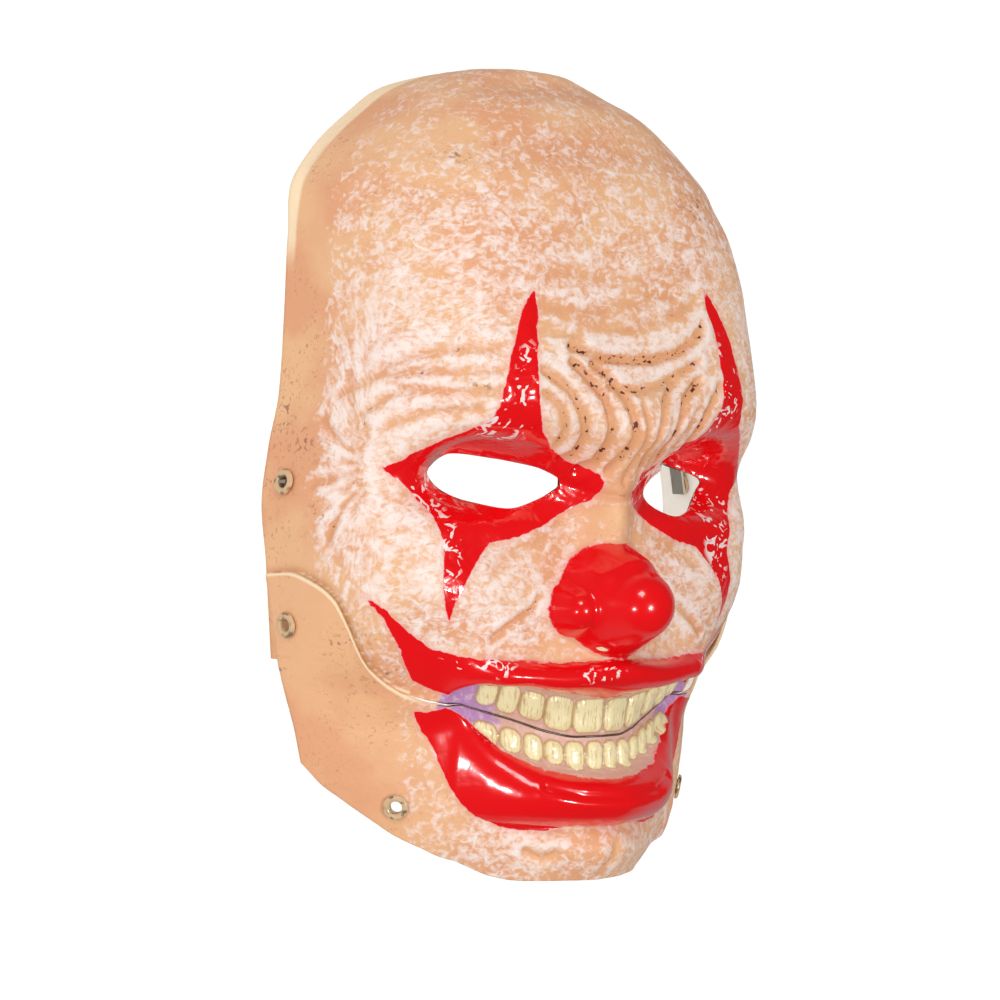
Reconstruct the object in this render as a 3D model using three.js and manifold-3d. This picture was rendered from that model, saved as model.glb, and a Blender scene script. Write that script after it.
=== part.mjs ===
// Clown mask: two thin moulded plastic shells, an upper face and a jaw that swings on two rivets,
// with metal eyelets and an elastic head strap. Millimetres.
// +Z is the way the face looks, +Y points to the crown, and the rear rim lies in the plane z = 0.

import * as THREE from "three";
import { mergeVertices } from "three/addons/utils/BufferGeometryUtils.js";
import Module from "manifold-3d";

const wasm = await Module();
wasm.setup();

// Overall sizes
const HALF_WIDTH = 94;
const HALF_HEIGHT = 146;
const FACE_DEPTH = 104;
const WALL = 1.2;

// Fits between the two shells
const JAW_CLEARANCE = 1.6;
const SEAM_GAP = 0.5;

// Eyelets, all of one size
const EYELET_FLANGE_RADIUS = 4.6;
const EYELET_HOLE_RADIUS = 2.2;
const EYELET_BARREL_WALL = 0.6;
const EYELET_FLANGE_THICKNESS = 0.9;
const EYELET_FIT = 0.4;
const EYELET_SIDES = 12;

// Head strap: flat elastic on its edge in a loose bow, with a metal end clipped into each temple eyelet
const STRAP_WIDTH = 11;
const STRAP_THICKNESS = 1;
const STRAP_FIT = 0.3;
const STRAP_LIFT = 0.4;
const STRAP_BOW = 60;
const STRAP_STEPS = 26;
const STRAP_END_LENGTH = 13;
const STRAP_END_WIDTH = 7;
const STRAP_END_BEHIND_EYELET = 3.5;
const PRONG_LENGTH = 3.2;
const PRONG_WIDTH = 1.2;

// Flared lip along the rear rim of the dome
const RIM_LIP_FLARE = 2.2;
const RIM_LIP_DEPTH = 5;

// Mesh fineness
const UPPER_FACE_ROWS = 24;
const UPPER_DOME_ROWS = 9;
const JAW_ROWS = 14;
const HIGHEST_FACE_ROW = 0.3;
// Columns in bands of turn, from the middle of the face outwards on each side
const COLUMN_BANDS = [
  { from: 0, to: 33, count: 9 },
  { from: 33, to: 60, count: 5 },
  { from: 60, to: 70, count: 4 },
  { from: 70, to: 90, count: 4 },
];

// Sections across the mask, from crown to chin. y is a share of HALF_HEIGHT, width of HALF_WIDTH and
// depth of FACE_DEPTH; squareness is the exponent of the section's rounded outline.
const SECTIONS = [
  { y: 1.0, width: 0.0, depth: 0.0, squareness: 2.6 },
  { y: 0.993, width: 0.125, depth: 0.185, squareness: 2.6 },
  { y: 0.973, width: 0.275, depth: 0.355, squareness: 2.6 },
  { y: 0.932, width: 0.445, depth: 0.42, squareness: 2.6 },
  { y: 0.863, width: 0.6, depth: 0.575, squareness: 2.6 },
  { y: 0.76, width: 0.78, depth: 0.672, squareness: 2.6 },
  { y: 0.671, width: 0.87, depth: 0.758, squareness: 2.6 },
  { y: 0.555, width: 0.9, depth: 0.8, squareness: 3.1 },
  { y: 0.384, width: 0.915, depth: 0.83, squareness: 3.6 },
  { y: 0.178, width: 0.94, depth: 0.87, squareness: 3.6 },
  { y: 0.041, width: 0.99, depth: 0.8, squareness: 3.6 },
  { y: -0.096, width: 1.02, depth: 0.715, squareness: 3.9 },
  { y: -0.233, width: 1.0, depth: 0.7, squareness: 3.9 },
  { y: -0.336, width: 0.99, depth: 0.715, squareness: 3.4 },
  { y: -0.438, width: 0.98, depth: 0.71, squareness: 2.8 },
  { y: -0.541, width: 0.97, depth: 0.72, squareness: 1.8 },
  { y: -0.644, width: 0.96, depth: 0.717, squareness: 1.5 },
  { y: -0.747, width: 0.93, depth: 0.723, squareness: 1.5 },
  { y: -0.829, width: 0.87, depth: 0.725, squareness: 1.55 },
  { y: -0.918, width: 0.76, depth: 0.7, squareness: 1.7 },
  { y: -1.0, width: 0.58, depth: 0.65, squareness: 1.9 },
];

// Soft hills and hollows of the face, on both sides alike. x and spreadX are shares of HALF_WIDTH,
// y and spreadY of HALF_HEIGHT, and rise of FACE_DEPTH.
const FORMS = [
  { name: "brow middle", x: 0.0, y: 0.1, spreadX: 0.17, spreadY: 0.07, rise: 0.09 },
  { name: "inner brow", x: 0.24, y: 0.11, spreadX: 0.17, spreadY: 0.055, rise: 0.024 },
  { name: "eye line", x: 0.0, y: -0.055, spreadX: 0.58, spreadY: 0.095, rise: 0.02 },
  { name: "inner socket", x: 0.28, y: -0.055, spreadX: 0.16, spreadY: 0.082, rise: -0.046 },
  { name: "outer socket", x: 0.6, y: -0.04, spreadX: 0.24, spreadY: 0.076, rise: -0.267 },
  { name: "cheekbone", x: 0.54, y: -0.206, spreadX: 0.21, spreadY: 0.044, rise: -0.024 },
  { name: "nose bridge", x: 0.0, y: -0.137, spreadX: 0.1, spreadY: 0.137, rise: 0.08 },
  { name: "hollow beside the mouth", x: 0.77, y: -0.45, spreadX: 0.17, spreadY: 0.096, rise: -0.03 },
  { name: "muzzle", x: 0.0, y: -0.48, spreadX: 0.36, spreadY: 0.07, rise: 0.055 },
  { name: "chin", x: 0.0, y: -0.918, spreadX: 0.2, spreadY: 0.075, rise: 0.058 },
  { name: "crease over the chin", x: 0.0, y: -0.865, spreadX: 0.28, spreadY: 0.035, rise: -0.03 },
];

// Round nose: a ball between two wings. Centres are shares as above, with z a share of FACE_DEPTH.
const NOSE_BALL_RADIUS = 17.5;
const NOSE_WING_RADIUS = 10.5;
const NOSE_BALLS = [
  { x: 0, y: -0.327, z: 0.85, radius: NOSE_BALL_RADIUS },
  { x: 0.235, y: -0.339, z: 0.78, radius: NOSE_WING_RADIUS },
];

// The mouth: edges of both lips, from the middle outwards. x is a share of HALF_WIDTH and the
// four edges are shares of HALF_HEIGHT.
const MOUTH = [
  { x: 0.0, upperTop: -0.466, upperLow: -0.558, lowerIn: -0.743, lowerOut: -0.868 },
  { x: 0.2, upperTop: -0.47, upperLow: -0.543, lowerIn: -0.728, lowerOut: -0.868 },
  { x: 0.4, upperTop: -0.46, upperLow: -0.516, lowerIn: -0.675, lowerOut: -0.855 },
  { x: 0.5, upperTop: -0.45, upperLow: -0.514, lowerIn: -0.62, lowerOut: -0.825 },
  { x: 0.6, upperTop: -0.44, upperLow: -0.54, lowerIn: -0.57, lowerOut: -0.745 },
  { x: 0.68, upperTop: -0.43, upperLow: -0.545, lowerIn: -0.56, lowerOut: -0.62 },
];
const MOUTH_HALF_WIDTH = 56;
const UPPER_LIP_RISE = 7;
const LOWER_LIP_RISE = 10;
const MOUTH_RECESS = 3;

// Teeth, from the middle outwards: x is a tooth's middle and width its width, shares of HALF_WIDTH.
const TEETH_RISE = 2.2;
const UPPER_TOOTH_HEIGHT = 10.5;
const LOWER_TOOTH_HEIGHT = 9;
const UPPER_TEETH = [
  { x: 0.069, width: 0.136 },
  { x: 0.193, width: 0.115 },
  { x: 0.299, width: 0.098 },
  { x: 0.389, width: 0.083 },
  { x: 0.468, width: 0.077 },
];
const LOWER_TEETH = [
  { x: 0.042, width: 0.085 },
  { x: 0.13, width: 0.092 },
  { x: 0.222, width: 0.092 },
  { x: 0.309, width: 0.083 },
  { x: 0.39, width: 0.079 },
  { x: 0.468, width: 0.077 },
];

// Edge lines: turn is degrees round the section from the middle, y is a share of HALF_HEIGHT.
// The seam is the jaw's upper edge, the tab the upper shell's lower edge behind the jaw.
const SEAM = [
  { turn: 0, y: -0.654 },
  { turn: 8, y: -0.654 },
  { turn: 16, y: -0.643 },
  { turn: 27, y: -0.617 },
  { turn: 39, y: -0.589 },
  { turn: 46, y: -0.57 },
  { turn: 53, y: -0.551 },
  { turn: 58.5, y: -0.526 },
  { turn: 62.3, y: -0.484 },
  { turn: 64, y: -0.425 },
  { turn: 65.2, y: -0.37 },
  { turn: 67.8, y: -0.312 },
  { turn: 72.8, y: -0.277 },
  { turn: 80, y: -0.255 },
  { turn: 90, y: -0.262 },
];
const TAB_EDGE = [
  { turn: 46, y: -0.57 },
  { turn: 52, y: -0.558 },
  { turn: 58, y: -0.541 },
  { turn: 63, y: -0.514 },
  { turn: 68, y: -0.49 },
  { turn: 76, y: -0.473 },
  { turn: 90, y: -0.466 },
];
const JAW_LOW_EDGE = [
  { turn: 0, y: -1.0 },
  { turn: 22, y: -1.0 },
  { turn: 33, y: -0.989 },
  { turn: 40, y: -0.968 },
  { turn: 52, y: -0.917 },
  { turn: 61, y: -0.881 },
  { turn: 68, y: -0.837 },
  { turn: 74, y: -0.795 },
  { turn: 78.5, y: -0.759 },
  { turn: 82.5, y: -0.71 },
];
const JAW_PLAIN_TURN = 60;
const JAW_REAR_TURN_TOP = 88;
const JAW_REAR_TURN_LOW = 82.5;
const JAW_OFFSET_STARTS = 43;
const JAW_OFFSET_FULL = 52;

// Eye openings: an almond with a blunt outer end, cut straight through. Shares as in FORMS.
// The wearer's left one is cut a little lower than the right.
const EYE_OUTLINE = [
  { x: 0.213, y: -0.04 },
  { x: 0.277, y: -0.012 },
  { x: 0.362, y: 0.005 },
  { x: 0.511, y: 0.027 },
  { x: 0.585, y: 0.018 },
  { x: 0.681, y: -0.01 },
  { x: 0.66, y: -0.036 },
  { x: 0.606, y: -0.064 },
  { x: 0.521, y: -0.088 },
  { x: 0.394, y: -0.103 },
  { x: 0.255, y: -0.072 },
];
const EYE_OUTLINE_STEPS = 26;
const LEFT_EYE_DROP = 3;

// Nostrils: two short slits under the ball of the nose
const NOSTRIL = { x: 0.15, y: -0.395, halfLength: 3.2, halfWidth: 1.1 };

// Eyelet places, as edge lines are given
const TEMPLE_EYELET = { turn: 82.5, y: -0.04 };
const HINGE_EYELET = { turn: 81.2, y: -0.38 };
const JAW_EYELET = { turn: 60, y: -0.812 };

// Small helpers

const radians = THREE.MathUtils.degToRad;

function ramp(from, to, value) {
  return THREE.MathUtils.smoothstep(value, from, to);
}

// A smooth curve through the rows of a table, with no overshoot between them.
function along(table, key, column) {
  const rows = [...table].sort((a, b) => a[key] - b[key]);
  const at = rows.map((row) => row[key]);
  const to = rows.map((row) => row[column]);
  const step = at.slice(1).map((value, i) => value - at[i]);
  const slope = step.map((size, i) => (to[i + 1] - to[i]) / size);
  const tangent = to.map((_, i) => {
    if (i === 0 || i === to.length - 1) {
      return slope[i === 0 ? 0 : i - 1];
    }
    if (slope[i - 1] * slope[i] <= 0) {
      return 0;
    }
    const before = 2 * step[i] + step[i - 1];
    const after = step[i] + 2 * step[i - 1];
    return (before + after) / (before / slope[i - 1] + after / slope[i]);
  });
  return (value) => {
    const x = THREE.MathUtils.clamp(value, at[0], at[at.length - 1]);
    let i = 0;
    while (i < step.length - 1 && x > at[i + 1]) {
      i += 1;
    }
    const t = (x - at[i]) / step[i];
    const t2 = t * t;
    const t3 = t2 * t;
    return (
      (2 * t3 - 3 * t2 + 1) * to[i] +
      (t3 - 2 * t2 + t) * step[i] * tangent[i] +
      (3 * t2 - 2 * t3) * to[i + 1] +
      (t3 - t2) * step[i] * tangent[i + 1]
    );
  };
}

// Heights over the middle are read as angles, so that the dome closes roundly at the crown.
function crownAngle(share) {
  return share > 0 ? Math.asin(Math.min(share, 1)) : share;
}

const sectionRows = SECTIONS.map((row) => ({ ...row, angle: crownAngle(row.y) }));
const widthAt = along(sectionRows, "angle", "width");
const depthAt = along(sectionRows, "angle", "depth");
const squarenessAt = along(sectionRows, "angle", "squareness");
const seamAt = along(SEAM, "turn", "y");
const tabAt = along(TAB_EDGE, "turn", "y");
const jawLowAt = along(JAW_LOW_EDGE, "turn", "y");
const lipEdges = {
  upperTop: along(MOUTH, "x", "upperTop"),
  upperLow: along(MOUTH, "x", "upperLow"),
  lowerIn: along(MOUTH, "x", "lowerIn"),
  lowerOut: along(MOUTH, "x", "lowerOut"),
};

// The face's surface

// Plain form: a rounded section at the height y, at an angle round it from the middle.
function plainPoint(turn, y) {
  const angle = crownAngle(y / HALF_HEIGHT);
  const width = Math.max(widthAt(angle) * HALF_WIDTH, 1e-4);
  const depth = Math.max(depthAt(angle) * FACE_DEPTH, 1e-4);
  const power = squarenessAt(angle);
  const across = Math.sin(turn);
  const ahead = Math.cos(turn);
  const reach = (Math.abs(ahead / depth) ** power + Math.abs(across / width) ** power) ** (-1 / power);
  return new THREE.Vector3(reach * across, y, reach * ahead);
}

function normalOf(surface, turn, y) {
  const small = 1e-3;
  const rise = 0.1;
  const top = Math.min(y + rise, HALF_HEIGHT * 0.99999);
  const across = surface(turn + small, y).sub(surface(turn - small, y));
  const up = surface(turn, top).sub(surface(turn, top - 2 * rise));
  return across.cross(up).normalize();
}

function softForms(x, y) {
  let rise = 0;
  for (const form of FORMS) {
    const dx = (Math.abs(x) / HALF_WIDTH - form.x) / form.spreadX;
    const dy = (y / HALF_HEIGHT - form.y) / form.spreadY;
    rise += form.rise * FACE_DEPTH * Math.exp(-dx * dx - dy * dy);
  }
  return rise;
}

// A lip is a rounded roll between two edges, fading out towards the corner of the mouth.
function lipRoll(y, low, top, rise) {
  const t = (2 * (y - low)) / (top - low) - 1;
  return Math.abs(t) < 1 ? rise * (1 - t * t) ** 0.75 : 0;
}

function toothRow(x, y, teeth, low, height) {
  if (y < low || y > low + height) {
    return 0;
  }
  const fromTop = Math.min((y - low) / height, 1 - (y - low) / height);
  const endFade = ramp(0, 0.18, fromTop);
  let rise = 0;
  for (const tooth of teeth) {
    const dx = (Math.abs(Math.abs(x) / HALF_WIDTH - tooth.x) * 2) / tooth.width;
    if (dx < 1) {
      rise = TEETH_RISE * (1 - dx ** 4) * endFade;
    }
  }
  return rise;
}

function seamHeight(turn) {
  return seamAt(THREE.MathUtils.radToDeg(Math.abs(turn))) * HALF_HEIGHT;
}

function mouthForms(x, y, turn) {
  const share = Math.abs(x) / HALF_WIDTH;
  const fade = 1 - ramp(MOUTH_HALF_WIDTH * 0.72, MOUTH_HALF_WIDTH * 1.12, Math.abs(x));
  const edge = (name) => lipEdges[name](share) * HALF_HEIGHT;
  const seam = seamHeight(turn);
  let rise = lipRoll(y, edge("upperLow"), edge("upperTop"), UPPER_LIP_RISE * fade);
  rise += lipRoll(y, edge("lowerOut"), edge("lowerIn"), LOWER_LIP_RISE * fade);
  if (y < edge("upperLow") && y > edge("lowerIn") && Math.abs(x) < MOUTH_HALF_WIDTH) {
    rise -= MOUTH_RECESS * (1 - ramp(0.9, 1.0, Math.abs(x) / MOUTH_HALF_WIDTH));
    rise += toothRow(x, y, UPPER_TEETH, seam + SEAM_GAP, UPPER_TOOTH_HEIGHT);
    rise += toothRow(x, y, LOWER_TEETH, seam - SEAM_GAP - LOWER_TOOTH_HEIGHT, LOWER_TOOTH_HEIGHT);
  }
  return rise;
}

// The flared lip stands out from the dome near its rear rim.
function rimLip(y, z) {
  const share = y / HALF_HEIGHT;
  const place = ramp(0.56, 0.68, share) * (1 - ramp(0.9, 0.985, share));
  const near = Math.max(0, 1 - z / RIM_LIP_DEPTH);
  return RIM_LIP_FLARE * place * near * near;
}

function facePoint(turn, y) {
  const plain = plainPoint(turn, y);
  const out = normalOf(plainPoint, turn, y);
  const front = ramp(0.05, 0.25, plain.z / FACE_DEPTH);
  const rise = (softForms(plain.x, y) + mouthForms(plain.x, y, turn)) * front;
  const point = plain.clone().addScaledVector(out, rise + rimLip(y, plain.z));
  for (const ball of NOSE_BALLS) {
    const dx = Math.abs(point.x) - ball.x * HALF_WIDTH;
    const dy = point.y - ball.y * HALF_HEIGHT;
    const left = ball.radius ** 2 - dx * dx - dy * dy;
    if (left > 0) {
      point.z = Math.max(point.z, ball.z * FACE_DEPTH + Math.sqrt(left));
    }
  }
  return point;
}

// Shells

// How far the jaw's outer face stands off the face's surface: flush at the lips, outside the
// upper shell at the sides.
function jawOffset(turn) {
  const degrees = THREE.MathUtils.radToDeg(Math.abs(turn));
  return (JAW_CLEARANCE + WALL) * ramp(JAW_OFFSET_STARTS, JAW_OFFSET_FULL, degrees);
}

// Past this angle a point lies on the flat rear rim.
const RIM_TURN = radians(89.99);

// Outer and inner points of a shell for a grid of places on the face.
function wallGrid(places, offsetAt) {
  return places.map((row) =>
    row.map(({ turn, y }) => {
      const atCrown = y > HALF_HEIGHT * 0.9999;
      const out = atCrown ? new THREE.Vector3(0, 1, 0) : normalOf(facePoint, turn, y);
      const onFace = facePoint(turn, y);
      const outer = onFace.clone().addScaledVector(out, offsetAt(turn));
      const inner = outer.clone().addScaledVector(out, -WALL);
      if (Math.abs(turn) > RIM_TURN) {
        outer.z = 0;
        inner.z = 0;
      }
      return { outer, inner };
    }),
  );
}

// A closed solid from a grid of outer and inner points. Rows run from low to high, columns from
// one side to the other. With crown set, the last row is a single point.
function shellGeometry(grid, crown) {
  const positions = [];
  const index = [];
  const rows = grid.length;
  const columns = grid[0].length;
  const side = (name, shift) => {
    for (const row of grid) {
      for (const spot of row) {
        positions.push(...spot[name].toArray());
      }
    }
    return (r, c) => shift + r * columns + (crown && r === rows - 1 ? 0 : c);
  };
  const outer = side("outer", 0);
  const inner = side("inner", rows * columns);
  const quad = (a, b, c, d) => {
    for (const tri of [[a, b, c], [a, c, d]]) {
      if (new Set(tri).size === 3) {
        index.push(...tri);
      }
    }
  };
  for (let r = 0; r < rows - 1; r += 1) {
    for (let c = 0; c < columns - 1; c += 1) {
      quad(outer(r, c), outer(r, c + 1), outer(r + 1, c + 1), outer(r + 1, c));
      quad(inner(r, c), inner(r + 1, c), inner(r + 1, c + 1), inner(r, c + 1));
    }
  }
  const last = columns - 1;
  for (let r = 0; r < rows - 1; r += 1) {
    quad(outer(r, 0), outer(r + 1, 0), inner(r + 1, 0), inner(r, 0));
    quad(outer(r, last), inner(r, last), inner(r + 1, last), outer(r + 1, last));
  }
  for (let c = 0; c < last; c += 1) {
    quad(outer(0, c), inner(0, c), inner(0, c + 1), outer(0, c + 1));
    if (!crown) {
      quad(outer(rows - 1, c), outer(rows - 1, c + 1), inner(rows - 1, c + 1), inner(rows - 1, c));
    }
  }
  const geometry = new THREE.BufferGeometry();
  geometry.setAttribute("position", new THREE.Float32BufferAttribute(positions, 3));
  geometry.setIndex(index);
  return geometry;
}

// Turns of all columns in degrees, from one side of the mask to the other.
function columnTurns() {
  const half = [];
  for (const { from, to, count } of COLUMN_BANDS) {
    for (let i = 0; i < count; i += 1) {
      half.push(from + ((to - from) * (i + 1)) / count);
    }
  }
  return [...half.map((turn) => -turn).reverse(), 0, ...half];
}

function upperPlaces() {
  const rows = [];
  const rowCount = UPPER_FACE_ROWS + UPPER_DOME_ROWS;
  for (let r = 0; r <= rowCount; r += 1) {
    const row = [];
    for (const column of columnTurns()) {
      const degrees = Math.abs(column);
      const tabStarts = TAB_EDGE[0].turn;
      const low = degrees > tabStarts ? tabAt(degrees) : seamAt(degrees);
      const lowShare = low + SEAM_GAP / 2 / HALF_HEIGHT;
      let share;
      if (r <= UPPER_FACE_ROWS) {
        share = THREE.MathUtils.lerp(lowShare, HIGHEST_FACE_ROW, r / UPPER_FACE_ROWS);
      } else {
        const t = (r - UPPER_FACE_ROWS) / UPPER_DOME_ROWS;
        share = Math.sin(THREE.MathUtils.lerp(crownAngle(HIGHEST_FACE_ROW), Math.PI / 2, t));
      }
      row.push({ turn: radians(column), y: share * HALF_HEIGHT });
    }
    rows.push(row);
  }
  return rows;
}

// The jaw's columns are the upper shell's, drawn in a little towards its rear edge.
function drawnIn(column, rearTurn) {
  const past = Math.max(0, Math.abs(column) - JAW_PLAIN_TURN);
  const drawn = Math.abs(column) - past * ((90 - rearTurn) / (90 - JAW_PLAIN_TURN));
  return Math.sign(column) * drawn;
}

function jawPlaces() {
  const rows = [];
  for (let r = 0; r <= JAW_ROWS; r += 1) {
    const up = r / JAW_ROWS;
    const row = [];
    for (const column of columnTurns()) {
      const topTurn = drawnIn(column, JAW_REAR_TURN_TOP);
      const lowTurn = drawnIn(column, JAW_REAR_TURN_LOW);
      const top = seamAt(Math.abs(topTurn)) * HALF_HEIGHT - SEAM_GAP / 2;
      const low = jawLowAt(Math.abs(lowTurn)) * HALF_HEIGHT;
      row.push({
        turn: radians(THREE.MathUtils.lerp(lowTurn, topTurn, up)),
        y: THREE.MathUtils.lerp(low, top, up),
      });
    }
    rows.push(row);
  }
  return rows;
}

// Booleans

function mergedGeometry(geometry) {
  const bare = geometry.clone();
  bare.deleteAttribute("normal");
  bare.deleteAttribute("uv");
  return mergeVertices(bare, 1e-4);
}

function solidOf(geometry) {
  const merged = mergedGeometry(geometry);
  return new wasm.Manifold(
    new wasm.Mesh({
      numProp: 3,
      vertProperties: new Float32Array(merged.attributes.position.array),
      triVerts: new Uint32Array(merged.index.array),
    }),
  );
}

function geometryOf(solid) {
  const mesh = solid.getMesh();
  const geometry = new THREE.BufferGeometry();
  geometry.setAttribute("position", new THREE.Float32BufferAttribute(mesh.vertProperties, 3));
  geometry.setIndex(new THREE.Uint32BufferAttribute(mesh.triVerts, 1));
  return geometry;
}

// A straight cutter along Z through the whole depth of the face.
function throughCutter(shape) {
  const geometry = new THREE.ExtrudeGeometry(shape, {
    depth: FACE_DEPTH * 2,
    bevelEnabled: false,
    curveSegments: 12,
  });
  return solidOf(geometry);
}

function eyeCutter(side) {
  const drop = side > 0 ? LEFT_EYE_DROP : 0;
  const points = EYE_OUTLINE.map(
    (spot) => new THREE.Vector3(side * spot.x * HALF_WIDTH, spot.y * HALF_HEIGHT - drop, 0),
  );
  const curve = new THREE.CatmullRomCurve3(points, true, "centripetal");
  const outline = curve.getPoints(EYE_OUTLINE_STEPS).slice(0, -1);
  return throughCutter(new THREE.Shape(outline.map((point) => new THREE.Vector2(point.x, point.y))));
}

function nostrilCutter(side) {
  const shape = new THREE.Shape();
  const x = side * NOSTRIL.x * HALF_WIDTH;
  const y = NOSTRIL.y * HALF_HEIGHT;
  shape.absellipse(x, y, NOSTRIL.halfLength, NOSTRIL.halfWidth, 0, Math.PI * 2, false, side * 0.35);
  return throughCutter(shape);
}

// Places of the eyelets: centre on the shell's outer face and direction outwards.
function eyeletSeat(place, side, offset) {
  const turn = side * radians(place.turn);
  const y = place.y * HALF_HEIGHT;
  const out = normalOf(facePoint, turn, y);
  return { centre: facePoint(turn, y).addScaledVector(out, offset), out };
}

function holeCutter(seat) {
  const radius = EYELET_HOLE_RADIUS + EYELET_BARREL_WALL + EYELET_FIT;
  const reach = 8 * WALL;
  const geometry = new THREE.CylinderGeometry(radius, radius, reach, EYELET_SIDES);
  geometry.applyQuaternion(new THREE.Quaternion().setFromUnitVectors(new THREE.Vector3(0, 1, 0), seat.out));
  geometry.translate(...seat.centre.toArray());
  return solidOf(geometry);
}

const sides = [
  { side: -1, tag: "right" },
  { side: 1, tag: "left" },
];
const jawStandOff = JAW_CLEARANCE + WALL;
const seats = {
  temple: (side) => eyeletSeat(TEMPLE_EYELET, side, 0),
  hinge: (side) => eyeletSeat(HINGE_EYELET, side, jawStandOff),
  jaw: (side) => eyeletSeat(JAW_EYELET, side, jawStandOff),
};

function upperShell() {
  let solid = solidOf(shellGeometry(wallGrid(upperPlaces(), () => 0), true));
  for (const { side } of sides) {
    solid = solid.subtract(eyeCutter(side));
    solid = solid.subtract(nostrilCutter(side));
    solid = solid.subtract(holeCutter(seats.temple(side)));
    solid = solid.subtract(holeCutter(seats.hinge(side)));
  }
  return geometryOf(solid);
}

function jawShell() {
  let solid = solidOf(shellGeometry(wallGrid(jawPlaces(), jawOffset), false));
  for (const { side } of sides) {
    solid = solid.subtract(holeCutter(seats.hinge(side)));
    solid = solid.subtract(holeCutter(seats.jaw(side)));
  }
  return geometryOf(solid);
}

// A rolled eyelet: a flange outside, a barrel through the wall and a flange inside.
function eyelet(seat, grip) {
  const hole = EYELET_HOLE_RADIUS;
  const barrel = hole + EYELET_BARREL_WALL;
  const flange = EYELET_FLANGE_RADIUS;
  const face = EYELET_FIT;
  const back = -grip - EYELET_FIT;
  const roll = EYELET_FLANGE_THICKNESS;
  const profile = [
    [hole, back],
    [hole, face],
    [hole + roll * 0.7, face + roll],
    [flange - roll * 0.4, face + roll],
    [flange, face],
    [barrel, face],
    [barrel, back],
    [flange - roll * 0.5, back],
    [flange - roll, back - roll],
    [hole + roll * 0.7, back - roll],
    [hole, back],
  ].reverse().map(([radius, height]) => new THREE.Vector2(radius, height));
  const geometry = new THREE.LatheGeometry(profile, EYELET_SIDES);
  geometry.applyQuaternion(new THREE.Quaternion().setFromUnitVectors(new THREE.Vector3(0, 1, 0), seat.out));
  geometry.translate(...seat.centre.toArray());
  return geometry;
}

// Where a strap end sits: flat against the eyelet's inner flange, pointing to the crown.
function strapEndSeat(side) {
  const { centre, out } = seats.temple(side);
  const along = new THREE.Vector3(0, 1, 0).addScaledVector(out, -out.y).normalize();
  const depth = WALL + EYELET_FIT + EYELET_FLANGE_THICKNESS + STRAP_FIT + STRAP_THICKNESS / 2;
  const middle = centre
    .clone()
    .addScaledVector(out, -depth)
    .addScaledVector(along, STRAP_END_LENGTH / 2 - STRAP_END_BEHIND_EYELET);
  return { middle, along, across: new THREE.Vector3().crossVectors(out, along), out, depth };
}

// A flat metal end with a prong that fills the eyelet's hole from inside.
function strapEnd(side) {
  const seat = strapEndSeat(side);
  const reach = seat.depth + EYELET_FIT + EYELET_FLANGE_THICKNESS;
  const plate = new THREE.BoxGeometry(STRAP_END_LENGTH, STRAP_END_WIDTH, STRAP_THICKNESS);
  const prong = new THREE.BoxGeometry(PRONG_WIDTH, PRONG_LENGTH, reach);
  prong.translate(STRAP_END_BEHIND_EYELET - STRAP_END_LENGTH / 2, 0, reach / 2);
  // Outline x runs along the strap and z outwards through the wall.
  const place = new THREE.Matrix4().makeBasis(seat.along, seat.across, seat.out);
  place.setPosition(seat.middle);
  const solid = solidOf(plate).add(solidOf(prong));
  return geometryOf(solid).applyMatrix4(place);
}

// The elastic leaves both metal ends towards the crown and crosses the hollow in a bow, half an
// ellipse in plan, sinking to the surface that the mask lies on.
function headStrap() {
  const seat = strapEndSeat(1);
  const start = seat.middle.clone().addScaledVector(seat.along, STRAP_END_LENGTH / 2 + STRAP_FIT);
  const flat = STRAP_LIFT + STRAP_WIDTH / 2;
  const rows = [-STRAP_WIDTH / 2, STRAP_WIDTH / 2].map((up) => {
    const row = [];
    for (let i = 0; i <= STRAP_STEPS; i += 1) {
      const angle = (Math.PI * i) / STRAP_STEPS;
      const fromEnd = 1 - Math.abs((2 * i) / STRAP_STEPS - 1);
      const height = THREE.MathUtils.lerp(start.z, flat, ramp(0, 0.4, fromEnd)) + up;
      const middle = new THREE.Vector3(
        start.x * Math.cos(angle),
        start.y + STRAP_BOW * Math.sin(angle),
        height,
      );
      const out = new THREE.Vector3(Math.cos(angle) / start.x, Math.sin(angle) / STRAP_BOW, 0).normalize();
      row.push({
        outer: middle.clone().addScaledVector(out, STRAP_THICKNESS / 2),
        inner: middle.clone().addScaledVector(out, -STRAP_THICKNESS / 2),
      });
    }
    return row;
  });
  return shellGeometry(rows, false);
}

// Materials

const paintedPlastic = new THREE.MeshStandardMaterial({ color: "#edc49b", roughness: 0.55, metalness: 0 });
const jawPlastic = new THREE.MeshStandardMaterial({ color: "#e6b88a", roughness: 0.55, metalness: 0 });
const sprayedMetal = new THREE.MeshStandardMaterial({ color: "#c9a27c", roughness: 0.45, metalness: 0.6 });
const zincedSteel = new THREE.MeshStandardMaterial({ color: "#cfcac0", roughness: 0.35, metalness: 0.9 });
const blackElastic = new THREE.MeshStandardMaterial({ color: "#151414", roughness: 0.9, metalness: 0 });

// Assembly

const mask = new THREE.Group();

function addPiece(name, geometry, material) {
  const mesh = new THREE.Mesh(mergedGeometry(geometry), material);
  mesh.name = name;
  mask.add(mesh);
}

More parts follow.
